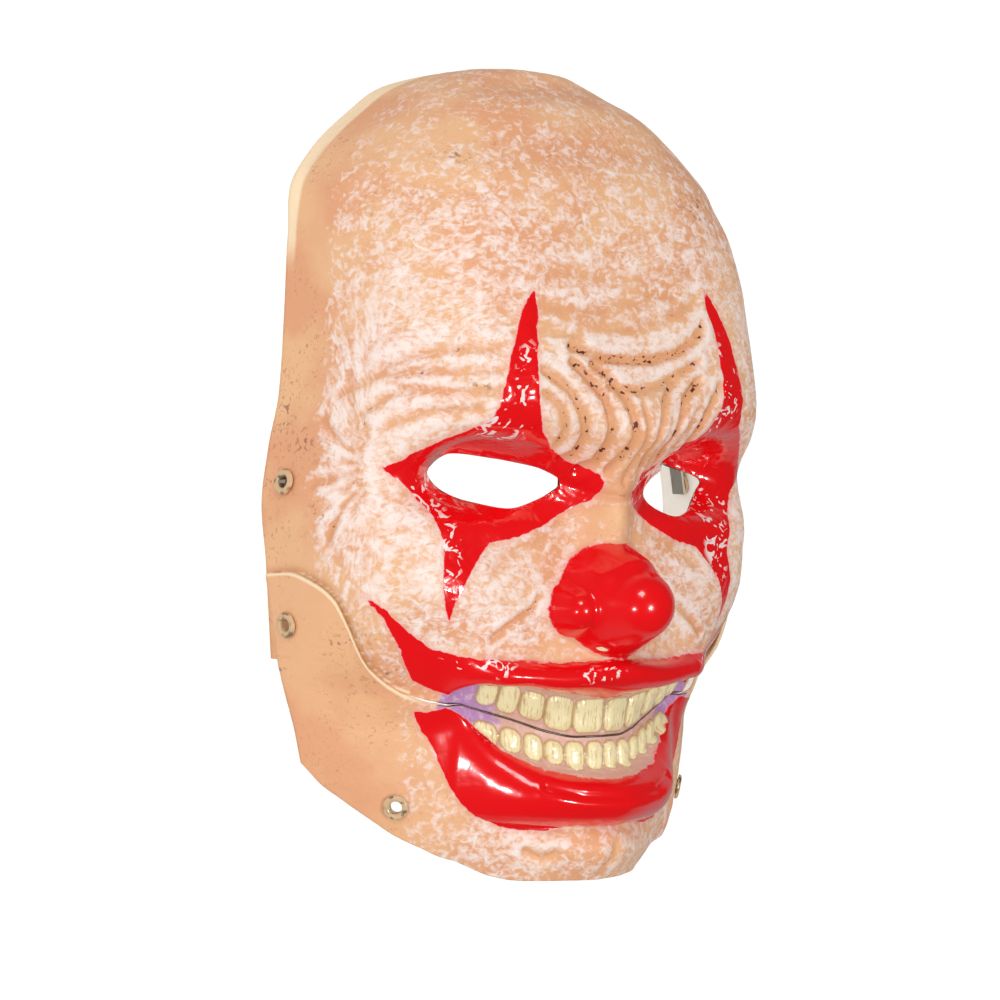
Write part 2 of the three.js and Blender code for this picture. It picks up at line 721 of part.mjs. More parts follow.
addPiece("upper_shell", upperShell(), paintedPlastic);
addPiece("jaw_shell", jawShell(), jawPlastic);
for (const { side, tag } of sides) {
  addPiece(`temple_eyelet_${tag}`, eyelet(seats.temple(side), WALL), sprayedMetal);
  addPiece(`hinge_eyelet_${tag}`, eyelet(seats.hinge(side), WALL * 2 + JAW_CLEARANCE), sprayedMetal);
  addPiece(`jaw_eyelet_${tag}`, eyelet(seats.jaw(side), WALL), sprayedMetal);
  addPiece(`strap_end_${tag}`, strapEnd(side), zincedSteel);
}
addPiece("head_strap", headStrap(), blackElastic);

export default mask;
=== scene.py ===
"""Looks of the clown mask: two painted plastic shells, rolled eyelets and an elastic strap.

The mask lies face up on its rear rim. +Z is the way the face looks and +Y points to the crown.
Sizes are millimetres until a mesh is made, and Blender objects are in metres.
"""

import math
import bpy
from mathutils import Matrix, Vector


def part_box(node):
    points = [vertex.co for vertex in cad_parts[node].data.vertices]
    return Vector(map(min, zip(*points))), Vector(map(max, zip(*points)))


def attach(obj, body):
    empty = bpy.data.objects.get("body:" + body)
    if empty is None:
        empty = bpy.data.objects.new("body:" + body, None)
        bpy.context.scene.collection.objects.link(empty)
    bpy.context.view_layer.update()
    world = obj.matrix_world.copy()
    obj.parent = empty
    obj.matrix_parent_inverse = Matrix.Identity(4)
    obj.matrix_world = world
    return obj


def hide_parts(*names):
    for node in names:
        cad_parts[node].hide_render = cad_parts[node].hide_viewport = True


bl_info = {
    "name": "Clown mask",
    "version": (1, 0, 0),
    "blender": (4, 5, 0),
    "location": "3D View > Sidebar > Mask",
    "description": "Builds the painted shells, eyelets and strap of a clown mask on its solid parts",
    "category": "Object",
}

from functools import partial

import bmesh
import bpy
import numpy as np
from mathutils import Matrix, Vector, noise

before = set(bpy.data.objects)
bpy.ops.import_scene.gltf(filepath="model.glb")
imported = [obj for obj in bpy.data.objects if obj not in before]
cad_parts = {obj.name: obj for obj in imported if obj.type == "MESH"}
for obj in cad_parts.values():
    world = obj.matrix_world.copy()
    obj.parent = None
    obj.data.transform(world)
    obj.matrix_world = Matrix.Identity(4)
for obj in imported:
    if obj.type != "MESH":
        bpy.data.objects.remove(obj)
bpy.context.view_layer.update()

MM = 0.001

# Driving sizes, as the solid parts have them
HALF_WIDTH = 94.0
HALF_HEIGHT = 146.0
FACE_DEPTH = 104.0
WALL = 1.2
JAW_CLEARANCE = 1.6
SEAM_GAP = 0.06
UNROLLED = 1.75  # millimetres along the face for one degree of turn


def colour(text):
    """An sRGB hex value as a linear colour."""
    parts = [int(text[i : i + 2], 16) / 255 for i in (1, 3, 5)]
    linear = [p / 12.92 if p <= 0.04045 else ((p + 0.055) / 1.055) ** 2.4 for p in parts]
    return (*linear, 1.0)


# Tables


def table(columns, *rows):
    """A small table as a dict of columns."""
    return {name: np.array([row[i] for row in rows], float) for i, name in enumerate(columns.split())}


# Sections across the mask from crown to chin. y is a share of HALF_HEIGHT, width of HALF_WIDTH and
# depth of FACE_DEPTH; squareness is the exponent of the section's rounded outline.
SECTIONS = table(
    "y width depth squareness",
    (1.0, 0.0, 0.0, 2.6),
    (0.993, 0.125, 0.185, 2.6),
    (0.973, 0.275, 0.355, 2.6),
    (0.932, 0.445, 0.42, 2.6),
    (0.863, 0.6, 0.575, 2.6),
    (0.76, 0.78, 0.672, 2.6),
    (0.671, 0.87, 0.758, 2.6),
    (0.555, 0.9, 0.8, 3.1),
    (0.384, 0.915, 0.83, 3.6),
    (0.178, 0.94, 0.87, 3.6),
    (0.041, 0.99, 0.8, 3.6),
    (-0.096, 1.02, 0.715, 3.9),
    (-0.233, 1.0, 0.7, 3.9),
    (-0.336, 0.99, 0.715, 3.4),
    (-0.438, 0.98, 0.71, 2.8),
    (-0.541, 0.97, 0.72, 1.8),
    (-0.644, 0.96, 0.717, 1.5),
    (-0.747, 0.93, 0.723, 1.5),
    (-0.829, 0.87, 0.725, 1.55),
    (-0.918, 0.76, 0.7, 1.7),
    (-1.0, 0.58, 0.65, 1.9),
)

# Soft hills and hollows, alike on both sides: brow, sockets, cheeks, nose bridge, muzzle and chin.
FORMS = table(
    "x y spread_x spread_y rise",
    (0.0, 0.1, 0.17, 0.07, 0.09),
    (0.24, 0.11, 0.17, 0.055, 0.024),
    (0.0, -0.055, 0.58, 0.095, 0.02),
    (0.28, -0.055, 0.16, 0.082, -0.046),
    (0.6, -0.04, 0.24, 0.076, -0.267),
    (0.54, -0.206, 0.21, 0.044, -0.024),
    (0.0, -0.137, 0.1, 0.137, 0.08),
    (0.77, -0.45, 0.17, 0.096, -0.03),
    (0.0, -0.48, 0.36, 0.07, 0.055),
    (0.0, -0.918, 0.2, 0.075, 0.058),
    (0.0, -0.865, 0.28, 0.035, -0.03),
)

# Round nose: a ball between two wings, with a shoulder that joins them.
NOSE_BALLS = table(
    "x y z radius",
    (0.0, -0.335, 0.887, 12.2), (0.0, -0.283, 0.82, 11.2), (0.07, -0.3, 0.79, 10.4),
    (0.185, -0.345, 0.772, 7.4),
)
NOSE_SKIRT = 0.9  # share of a ball's radius past which its side runs on straight
NOSE_PAINT_RISE = 1.6  # the red starts where the nose stands this far out of the face

# Edges of both lips from the middle outwards.
MOUTH = table(
    "x upper_top upper_low lower_in lower_out",
    (0.0, -0.466, -0.558, -0.743, -0.868),
    (0.2, -0.47, -0.543, -0.728, -0.868),
    (0.4, -0.46, -0.516, -0.675, -0.855),
    (0.5, -0.45, -0.514, -0.62, -0.825),
    (0.6, -0.44, -0.54, -0.57, -0.745),
    (0.68, -0.43, -0.545, -0.56, -0.62),
)
MOUTH_HALF_WIDTH = 56.0
UPPER_LIP_RISE = 7.0
LOWER_LIP_RISE = 10.0
MOUTH_RECESS = 3.0
MOUTH_SLOPE = 2.5
TEETH_RISE = 2.4
TOOTH_ROUNDING = 2.2
TOOTH_CORNER = 3.0
TOOTH_GAP = 0.15
UPPER_TOOTH = {"height": 12.6, "over_seam": 7.4}
LOWER_TOOTH = {"height": 10.4, "over_seam": -6.6}
UPPER_TEETH = table("x width", (0.069, 0.136), (0.193, 0.115), (0.299, 0.098), (0.389, 0.083), (0.468, 0.077))
LOWER_TEETH = table(
    "x width", (0.042, 0.084), (0.126, 0.084), (0.205, 0.077), (0.28, 0.075), (0.357, 0.08), (0.443, 0.09)
)

# Edge lines: degrees of turn from the middle, and y as a share of HALF_HEIGHT.
SEAM = table(
    "turn y",
    (0, -0.654), (8, -0.654), (16, -0.643), (27, -0.617), (39, -0.589), (46, -0.57), (53, -0.551),
    (58.5, -0.526), (62.3, -0.484), (64, -0.425), (65.2, -0.37), (67.8, -0.312), (72.8, -0.277),
    (80, -0.255), (90, -0.262),
)
TAB_EDGE = table(
    "turn y", (46, -0.57), (52, -0.558), (58, -0.541), (63, -0.514), (68, -0.49), (76, -0.473), (90, -0.466)
)
JAW_LOW_EDGE = table(
    "turn y",
    (0, -1.0), (22, -1.0), (33, -0.989), (40, -0.968), (52, -0.917), (61, -0.881), (68, -0.837),
    (74, -0.795), (78.5, -0.759), (82.5, -0.71),
)
JAW_PLAIN_TURN = 60.0
JAW_REAR_TURN_TOP = 88.0
JAW_REAR_TURN_LOW = 82.5
JAW_OFFSET_STARTS = 43.0
JAW_OFFSET_FULL = 52.0

# Openings
EYE_OUTLINE = [
    (0.213, -0.04), (0.277, -0.012), (0.362, 0.005), (0.511, 0.027), (0.585, 0.018), (0.681, -0.01),
    (0.66, -0.036), (0.606, -0.064), (0.521, -0.088), (0.394, -0.103), (0.255, -0.072),
]
LEFT_EYE_DROP = 3.0
NOSTRIL = {"x": 0.1, "y": -0.44, "half_length": 1.9, "half_width": 0.5, "tilt": 0.3}
EYE_WINDOW = (4, 60, -40, 25)  # degrees of turn and millimetres within which an eye opening lies
NOSTRIL_WINDOW = (2, 30, -75, -45)
EYELET_HOLE = 2.2
EYELET_BARREL_WALL = 0.6
EYELET_FIT = 0.4
EYELET_FLANGE = 4.6
EYELET_ROLL = 1.0  # the roll's rise over its round foot
EYELET_FOOT = 0.25
EYELET_BACK = 0.8
EYELET_SEGMENTS = 40
TEMPLE_EYELET = (82.5, -0.04)
HINGE_EYELET = (81.2, -0.38)
JAW_EYELET = (60.0, -0.812)

# Elastic strap, as it lies in a bow on its edge
STRAP_WIDTH = 11.0
STRAP_THICKNESS = 1.0
STRAP_LENGTH = 270.0
STRAP_BOW = 60.0
STRAP_LIFT = 0.4
STRAP_SEGMENTS = 120
STRAP_INSIDE_END = 2.2  # the elastic's middle lies this far inside its metal ends

# Red paint outlines on one half of the face: degrees of turn and millimetres of height.
EYE_PAINT = [
    (57.6, -1.1), (53.6, 1.3), (47.3, 5.7), (41.2, 9.6), (37.5, 12.7), (35.4, 14.7), (33.9, 19.9),
    (33.1, 25.2), (31.7, 37), (30.3, 45.6), (29.3, 52), (27.7, 56.9), (26.3, 59.6), (25.4, 55.1),
    (25.8, 43.1), (26.1, 32.2), (25.7, 20.7), (24, 11.6), (20.4, 4.8), (15.2, 0.3), (10.2, -1.1),
    (6.5, -2), (5.2, -4.2), (5.6, -8.9), (7.7, -11.6), (12.2, -15.1), (19.4, -20.7), (27.5, -25.2),
    (34.3, -27.1), (36.7, -31.6), (39.6, -37.8), (42.8, -48.1), (44.2, -55.2), (44.8, -49.9),
    (45.2, -40.5), (44.8, -27.7), (45.4, -23), (46.8, -17), (49.9, -12.3), (53.6, -6.5),
]
LEFT_SPIKE_LEAN = 2.0  # degrees
LEFT_SPIKE_RISE = 3.0
LEFT_BAND_DROP = 2.2
UPPER_LIP_PAINT = [
    (-6, -69.2), (0.8, -68.9), (18.1, -68.5), (33.8, -66.4), (39.7, -66.4), (44.2, -65.8),
    (48.3, -64.1), (52.7, -58), (56.9, -49.9), (61.6, -44.6), (57.6, -52.8), (56.2, -59.2),
    (55, -65), (54.5, -71.8), (54, -75.5), (50.9, -77.5), (48.1, -78.6), (45.2, -80.2),
    (40.1, -76.1), (32.6, -75.7), (21.3, -76.9), (11.4, -79.8), (1.6, -82.1), (-6, -82.3),
]
LOWER_LIP_PAINT = [
    (-6, -127.3), (1.1, -126.8), (10.2, -125.9), (19.4, -128.2), (29.9, -127), (38.8, -122.4),
    (42.8, -117.7), (45.9, -111.5), (48.2, -104.5), (50, -98.1), (53.3, -91.5), (54.4, -84.2),
    (45.4, -84.1), (38.8, -90.9), (30.9, -99.6), (19.5, -106.2), (7.7, -109.4), (-6, -110.5),
]

# Creases as paths of (turn, height), with a depth and a half-width in millimetres. Both sides differ.
CREASES = [
    (
        "fold round the right lobe", 2.1, 1.6,
        [(-17.8, 35.7), (-13.5, 29.4), (-10.3, 23.1), (-8.9, 16.3), (-8.1, 8.3), (-8.4, 1.4), (-12, -2.2)],
    ),
    ("fold beside it", 1.9, 1.6, [(-12.7, 35), (-8, 30), (-4.6, 22), (-2.9, 14), (-3, 6), (-5, 0)]),
    (
        "fold in the lobe", 1.9, 1.6,
        [(-24.5, 32.3), (-19, 26), (-15.9, 18.6), (-14.1, 10.6), (-14, 3.7), (-16, 0.3)],
    ),
    ("inner fold in the lobe", 1.4, 1.4, [(-24.5, 24.3), (-20.6, 19.7), (-19, 12.9), (-19, 6)]),
    ("fold over the nose", 1.0, 1.4, [(-1, 22), (0, 14), (0.8, 6), (0, -3)]),
    ("left middle fold", 1.8, 1.6, [(11, 30), (6, 22), (4.2, 13), (4.2, 6), (5.5, 0)]),
    ("left fold", 2.0, 1.6, [(18.5, 30), (13.4, 23), (11.8, 15), (12, 6), (13, 1.4)]),
    ("left outer fold", 1.3, 1.6, [(25, 28), (21, 18.6), (20.2, 10.6), (21.5, 6)]),
    (
        "deep furrow", 2.3, 1.5,
        [(-18, 40.5), (-15.9, 39.7), (-9.6, 36.9), (-2, 36.4),
         (5.5, 36.9), (13.1, 39.7), (18.3, 44), (22, 49)],
    ),
    ("low furrow", 1.4, 1.4, [(-9, 27), (-1.6, 25.8), (4.2, 26.8), (12, 31.5), (19, 37)]),
    ("high furrow", 1.1, 1.7, [(-15, 48.6), (-6, 48), (0, 47.7), (13, 52.5), (21, 58)]),
    ("right high furrow", 1.2, 1.7, [(-26, 46), (-20, 45.2), (-15, 42.5)]),
    ("right top furrow", 0.9, 2.0, [(-26, 55.5), (-18, 52), (-11, 53), (0, 56), (14, 61)]),
    ("top furrow", 0.6, 2.4, [(-22, 66), (0, 64), (20, 69)]),
    ("right spike crease", 0.9, 1.7, [(-57, 33), (-47.3, 38), (-34, 39.7)]),
    ("second spike crease", 0.9, 1.7, [(-68, 24), (-56.5, 31), (-43.4, 31.2), (-34, 31.8)]),
    ("third spike crease", 0.9, 1.7, [(-62, 17), (-53, 25.5), (-42, 24.5), (-34, 24.4)]),
    ("lid crease", 0.9, 1.7, [(-57.2, 11.8), (-47.2, 18.2), (-37.8, 18.4)]),
    (
        "right cheek crease", 1.2, 1.2,
        [(-22, -45), (-23.9, -49.3), (-27.9, -53), (-31.6, -56.3), (-34.5, -60)],
    ),
    ("left cheek crease", 1.2, 1.2, [(22, -45), (24, -49.3), (28, -53), (32, -57), (35, -61)]),
    ("bridge crease", 0.9, 1.3, [(-14, -7), (-8, -9.5), (0, -8), (8, -9.5), (13, -7)]),
    ("right bag", 0.6, 1.8, [(-15, -21), (-22, -27), (-30, -31.5), (-34, -36)]),
    ("left bag", 0.6, 1.8, [(15, -22), (22, -28), (30, -32.5), (34, -37)]),
    ("lip crease", 0.9, 1.4, [(-20, -112), (-10, -115.5), (0, -116.5), (12, -115), (22, -111)]),
    ("chin dimple", 1.1, 1.6, [(-24, -135), (-19, -137), (-15, -135.5)]),
    ("chin middle", 0.8, 2.0, [(1, -133), (-1, -140)]),
]
CREASE_SWELL = 0.35  # share of a crease's depth by which the skin beside it swells
SKIN_LUMPS = ((7.0, 0.22), (2.6, 0.14))  # size and height of the low lumps in the moulded skin
RIM_LIP = 2.0
RIM_LIP_HEIGHT = 5.5
# Where the red has chipped, and where brown specks gather: degrees and millimetres
CHIPPED = table(
    "turn y spread_turn spread_y",
    (-28, 26, 3, 16), (-33, 12, 6, 7), (-48, -13, 6, 6), (-44, -30, 3, 14), (-38, -68, 8, 3),
    (-8, -73, 7, 2.5), (28, 26, 4, 20), (41, -24, 4, 18), (40, -68, 8, 3), (44, -14, 7, 5),
)
SPECKLED = table(
    "turn y spread_turn spread_y",
    (-43.6, 107.4, 4, 2.5), (-86, 18, 4, 12), (-78, 8, 4, 5), (-71, -16, 3, 3), (-38, 26, 3, 1.5),
    (-66, -61, 5, 2.5), (-59, -73, 5, 3), (-85, -70, 3, 3), (-44, -94, 6, 3), (30, 92, 8, 6),
    (78, 10, 5, 8),
)
# Where the white scratches gather, on both sides alike
WHITENED = table(
    "turn y spread_turn spread_y share",
    (52, -32, 15, 36, 0.9), (50, 34, 20, 44, 0.85), (28, -45, 16, 24, 0.7), (8, 80, 50, 36, 0.5),
    (30, -136, 26, 20, 0.6), (64, 6, 10, 34, 0.5), (12, 40, 16, 16, 0.3),
)
LEAST_WHITE = 0.12
MOST_WHITE = 0.72
PLAIN_WHITE = -0.8  # on the smooth plates, where there are no scratches
NEAR_EYE_CORNER = (57.5, -1.0)
FAN_STRETCH = 1.25  # the fan beside an eye is this much taller than it is wide
FAN_MIDDLE = 30.0  # reach in millimetres at which its streaks have their true width
CROWS_FEET = {
    "count": 9,
    "first": -42.0,
    "last": 54.0,
    "start": 9.0,
    "length": 30.0,
    "depth": 0.9,
    "half_width": 1.5,
}


# The face as a surface. turn is in degrees and y in millimetres, both as arrays.


def ramp(start, end, value):
    t = np.clip((value - start) / (end - start), 0, 1)
    return t * t * (3 - 2 * t)


def smooth_curve(rows, key, column):
    """A smooth curve through the rows of a table, with no overshoot between them."""
    order = np.argsort(rows[key])
    at, to = rows[key][order], rows[column][order]
    step = np.diff(at)
    slope = np.diff(to) / step
    tangent = np.concatenate([slope[:1], np.zeros(len(slope) - 1), slope[-1:]])
    for i in range(1, len(slope)):
        if slope[i - 1] * slope[i] > 0:
            before = 2 * step[i] + step[i - 1]
            after = step[i] + 2 * step[i - 1]
            tangent[i] = (before + after) / (before / slope[i - 1] + after / slope[i])

    def read(value):
        x = np.clip(value, at[0], at[-1])
        i = np.clip(np.searchsorted(at, x, side="right") - 1, 0, len(step) - 1)
        t = (x - at[i]) / step[i]
        keep = (2 * t**3 - 3 * t**2 + 1) * to[i] + (3 * t**2 - 2 * t**3) * to[i + 1]
        return keep + step[i] * ((t**3 - 2 * t**2 + t) * tangent[i] + (t**3 - t**2) * tangent[i + 1])

    return read


def crown_angle(share):
    """Heights over the middle are read as angles, so that the dome closes roundly."""
    return np.where(share > 0, np.arcsin(np.clip(share, 0, 1)), share)


section_rows = dict(SECTIONS, angle=crown_angle(SECTIONS["y"]))
width_at, depth_at, squareness_at = (
    smooth_curve(section_rows, "angle", name) for name in ("width", "depth", "squareness")
)
lip_edge = {name: smooth_curve(MOUTH, "x", name) for name in MOUTH if name != "x"}
seam_at, tab_at, jaw_low_at = (smooth_curve(edge, "turn", "y") for edge in (SEAM, TAB_EDGE, JAW_LOW_EDGE))


def plain_point(turn, y):
    angle = crown_angle(y / HALF_HEIGHT)
    width = np.maximum(width_at(angle) * HALF_WIDTH, 1e-4)
    depth = np.maximum(depth_at(angle) * FACE_DEPTH, 1e-4)
    power = squareness_at(angle)
    across, ahead = np.sin(np.radians(turn)), np.cos(np.radians(turn))
    reach = (np.abs(ahead / depth) ** power + np.abs(across / width) ** power) ** (-1 / power)
    return np.stack([reach * across, y, reach * ahead], -1)


def normal_of(surface, turn, y):
    small, step = 0.06, 0.1
    top = np.minimum(y + step, HALF_HEIGHT * 0.99999)
    across = surface(turn + small, y) - surface(turn - small, y)
    normal = np.cross(across, surface(turn, top) - surface(turn, top - 2 * step))
    return normal / np.maximum(np.linalg.norm(normal, axis=-1, keepdims=True), 1e-9)


def rows_of(rows):
    return zip(*rows.values())


def soft_forms(x, y):
    rise = np.zeros(y.shape)
    for at_x, at_y, spread_x, spread_y, height in rows_of(FORMS):
        dx = (np.abs(x) / HALF_WIDTH - at_x) / spread_x
        dy = (y / HALF_HEIGHT - at_y) / spread_y
        rise += height * FACE_DEPTH * np.exp(-dx * dx - dy * dy)
    return rise


def lip_roll(y, low, top, rise):
    t = np.clip((2 * (y - low)) / (top - low) - 1, -1, 1)
    return rise * (1 - t * t) ** 0.75


def inside_teeth(turn, x, y):
    """How far inside a tooth a place is, in millimetres; less than zero between them."""
    seam = seam_at(np.abs(turn)) * HALF_HEIGHT
    inside = np.full(y.shape, -9.0)
    for teeth, row in ((UPPER_TEETH, UPPER_TOOTH), (LOWER_TEETH, LOWER_TOOTH)):
        for k, (at_x, width) in enumerate(rows_of(teeth)):
            # They get shorter towards the corner and vary a little in height
            half = width * HALF_WIDTH / 2 - TOOTH_GAP
            tall = row["height"] / 2 * (1 - 0.045 * k) + 0.35 * math.sin(2.4 * k)
            dx = np.abs(np.abs(x) - at_x * HALF_WIDTH) - half + TOOTH_CORNER
            dy = np.abs(y - seam - row["over_seam"]) - tall + TOOTH_CORNER
            outside = np.hypot(np.maximum(dx, 0), np.maximum(dy, 0)) + np.minimum(np.maximum(dx, dy), 0)
            inside = np.maximum(inside, TOOTH_CORNER - outside)
    return inside


def inside_mouth(x, y):
    """How far inside the open mouth a place is, in millimetres."""
    share = np.abs(x) / HALF_WIDTH
    under = lip_edge["upper_low"](share) * HALF_HEIGHT - y
    over = y - lip_edge["lower_in"](share) * HALF_HEIGHT
    return np.minimum(np.minimum(under, over), MOUTH_HALF_WIDTH - np.abs(x))


def mouth_forms(turn, x, y):
    share = np.abs(x) / HALF_WIDTH
    fade = 1 - ramp(MOUTH_HALF_WIDTH * 0.72, MOUTH_HALF_WIDTH * 1.12, np.abs(x))
    low, top, out, inner = (
        lip_edge[name](share) * HALF_HEIGHT for name in ("upper_low", "upper_top", "lower_out", "lower_in")
    )
    rise = lip_roll(y, low, top, UPPER_LIP_RISE * fade)
    low_fade = 1 - ramp(MOUTH_HALF_WIDTH * 0.35, MOUTH_HALF_WIDTH * 1.05, np.abs(x))
    rise += lip_roll(y, out, inner, LOWER_LIP_RISE * low_fade)
    deep = inside_mouth(x, y)
    rise -= MOUTH_RECESS * ramp(0, MOUTH_SLOPE, deep)
    tooth = inside_teeth(turn, x, y)
    rise += TEETH_RISE * np.sqrt(np.clip(tooth / TOOTH_ROUNDING, 0, 1)) * (deep > 0)
    return rise


def distance_to(turn, y, path):
    """Distance in millimetres from places to a path of (turn, height) on the unrolled face."""
    best = np.full(y.shape, 1e6)
    points = [(t * UNROLLED, h) for t, h in path]
    across = turn * UNROLLED
    for (ax, ay), (bx, by) in zip(points[:-1], points[1:]):
        dx, dy = bx - ax, by - ay
        t = np.clip(((across - ax) * dx + (y - ay) * dy) / (dx * dx + dy * dy + 1e-9), 0, 1)
        best = np.minimum(best, np.hypot(across - ax - t * dx, y - ay - t * dy))
    return best


def inside_outline(turn, y, outline):
    """Signed distance to a closed outline, more than zero inside it."""
    across = turn * UNROLLED
    crossed = np.zeros(y.shape, bool)
    for (at, ay), (bt, by) in zip(outline, outline[1:] + outline[:1]):
        ax, bx = at * UNROLLED, bt * UNROLLED
        straddles = (ay > y) != (by > y)
        crossed ^= straddles & (across < (bx - ax) * (y - ay) / (by - ay + 1e-12) + ax)
    distance = distance_to(turn, y, outline + outline[:1])
    return np.where(crossed, distance, -distance)


def crows_feet():
    """Fine creases that fan out from the outer corner of each eye."""
    paths = []
    fan = CROWS_FEET
    for side in (-1, 1):
        for i in range(fan["count"]):
            aim = math.radians(fan["first"] + (fan["last"] - fan["first"]) * i / (fan["count"] - 1))
            reach = fan["length"] * (0.75 + 0.25 * math.sin(3.1 * i + side))
            path = []
            for step in range(6):
                far = fan["start"] + (reach - fan["start"]) * step / 5
                bend = aim + 0.012 * far * math.sin(aim * 1.6)
                turn = NEAR_EYE_CORNER[0] + far * math.cos(bend) / UNROLLED
                path.append((side * turn, NEAR_EYE_CORNER[1] + far * math.sin(bend) * FAN_STRETCH))
            paths.append(("crow's foot", fan["depth"], fan["half_width"], path))
    return paths


def crease_depth(turn, y):
    """How deep the creases are at a place, in millimetres, with the swell on both their sides."""
    deep = np.zeros(y.shape)
    swell = np.zeros(y.shape)
    for _, depth, half, path in CREASES + crows_feet():
        away = distance_to(turn, y, path)
        line = np.exp(-((away / half) ** 2))
        deep = np.maximum(deep, depth * line)
        beside = np.exp(-(((away - 2.4 * half) / (1.3 * half)) ** 2))
        swell = np.maximum(swell, CREASE_SWELL * depth * beside)
    return deep, swell


def rim_lip(y, z):
    """The dome's rear rim stands out as a narrow lip."""
    share = y / HALF_HEIGHT
    place = ramp(0.56, 0.68, share) * (1 - ramp(0.9, 0.985, share))
    return RIM_LIP * place * (1 - ramp(0, RIM_LIP_HEIGHT, z))


def smooth_max(a, b, blend):
    share = np.clip(0.5 + 0.5 * (a - b) / blend, 0, 1)
    return b + (a - b) * share + blend * share * (1 - share)


def nose_over(point):
    """Height of the round nose at a place, far below the face where there is none."""
    height = np.full(point.shape[:-1], -99.0)
    for at_x, at_y, at_z, radius in rows_of(NOSE_BALLS):
        away = np.hypot(np.abs(point[..., 0]) - at_x * HALF_WIDTH, point[..., 1] - at_y * HALF_HEIGHT)
        edge = NOSE_SKIRT * radius
        fall = edge / math.sqrt(radius**2 - edge**2)
        top = np.sqrt(radius**2 - np.minimum(away, edge) ** 2) - fall * np.maximum(away - edge, 0)
        height = smooth_max(at_z * FACE_DEPTH + top, height, 3.0)
    return height


def skin_point(turn, y, fine=True):
    """The face without its nose."""
    plain = plain_point(turn, y)
    out = normal_of(plain_point, turn, y)
    front = ramp(0.05, 0.25, plain[..., 2] / FACE_DEPTH)
    rise = (soft_forms(plain[..., 0], y) + mouth_forms(turn, plain[..., 0], y)) * front
    if fine:
        deep, swell = crease_depth(turn, y)
        rise += (swell - deep) * front
    return plain + out * (rise + rim_lip(y, plain[..., 2]))[..., None]


def face_point(turn, y, fine=True):
    point = skin_point(turn, y, fine)
    point[..., 2] = smooth_max(nose_over(point), point[..., 2], 1.2)
    return point


def jaw_offset(turn):
    return (JAW_CLEARANCE + WALL) * ramp(JAW_OFFSET_STARTS, JAW_OFFSET_FULL, np.abs(turn))


# Flat grids in (turn, y), cut and then rolled on to the face. Bands are (from, to, count): close
# columns over the teeth and folds, wider ones on the sides, and rows as shares of the height.

COLUMN_BANDS = ((0, 47, 78), (47, 70, 28), (70, 90, 20))
UPPER_BANDS = ((0, 0.17, 36), (0.17, 0.62, 84), (0.62, 1, 56))
JAW_BANDS = ((0, 0.35, 34), (0.35, 1, 76))
DOME_FROM_BAND = 0.62
DOME_FROM_HEIGHT = 0.3


def spaced(*bands):
    """Places along a line, in bands of (from, to, count)."""
    places = [bands[0][0]]
    for start, end, count in bands:
        places += [start + (end - start) * (i + 1) / count for i in range(count)]
    return places


def columns():
    half = spaced(*COLUMN_BANDS)
    return np.array([-t for t in reversed(half[1:])] + half)


def flat_grid(turns_at, heights_at, column_count, row_count):
    """A grid whose vertices hold turn and height, worked out from their shares across and up."""
    bm = bmesh.new()
    bmesh.ops.create_grid(bm, x_segments=column_count, y_segments=row_count, size=1)
    across = np.array([v.co.x for v in bm.verts]) / 2 + 0.5
    up = np.array([v.co.y for v in bm.verts]) / 2 + 0.5
    turn = turns_at(across, up)
    y = heights_at(turn, up)
    for vert, t, h in zip(bm.verts, turn, y):
        vert.co = (t, h, 0)
    return bm


def cut_hole(bm, inside):
    """Cuts the flat grid along the line where inside() is zero, and takes out what lies within."""
    bm.verts.index_update()
    places = np.array([v.co[:2] for v in bm.verts])
    value = inside(places[:, 0], places[:, 1])
    crossing = [e for e in bm.edges if value[e.verts[0].index] * value[e.verts[1].index] < 0]
    if not crossing:
        raise RuntimeError("a hole misses its grid")
    start = np.array([e.verts[0].co[:2] for e in crossing])
    end = np.array([e.verts[1].co[:2] for e in crossing])
    # Halving finds the place where each crossed edge meets the line
    low = np.zeros(len(crossing))
    high = np.ones(len(crossing))
    starts_in = value[[e.verts[0].index for e in crossing]] > 0
    for _ in range(12):
        middle = (low + high) / 2
        at = start + (end - start) * middle[:, None]
        same = (inside(at[:, 0], at[:, 1]) > 0) == starts_in
        low, high = np.where(same, middle, low), np.where(same, high, middle)
    cuts = []
    for edge, share in zip(crossing, (low + high) / 2):
        _, vert = bmesh.utils.edge_split(edge, edge.verts[0], float(np.clip(share, 0.02, 0.98)))
        cuts.append(vert)
    bmesh.ops.connect_verts(bm, verts=cuts)
    centres = np.array([f.calc_center_median()[:2] for f in bm.faces])
    hit = inside(centres[:, 0], centres[:, 1]) > 0
    bmesh.ops.delete(bm, geom=[f for f, gone in zip(bm.faces, hit) if gone], context="FACES")


def closed_curve(points, steps):
    """A closed smooth line through a few points."""
    spots = np.array(points, float)
    count = len(spots)
    line = []
    for i in range(count):
        p0, p1, p2, p3 = (spots[(i + k - 1) % count] for k in range(4))
        for s in range(steps):
            t = s / steps
            square = (2 * p0 - 5 * p1 + 4 * p2 - p3) * t**2
            cube = (3 * p1 - p0 - 3 * p2 + p3) * t**3
            line.append(0.5 * (2 * p1 + (p2 - p0) * t + square + cube))
    return [tuple(p) for p in line]


def hole_inside(side, window, depth_of):
    """An inside test that reads the face only in a window of (turn from, to, y from, to)."""
    turn_from, turn_to, y_from, y_to = window

    def inside(turn, y):
        result = np.full(y.shape, -9.0)
        out = turn * side
        near = (out > turn_from) & (out < turn_to) & (y > y_from) & (y < y_to)
        result[near] = depth_of(face_point(turn[near], y[near], fine=False))
        return result

    return inside


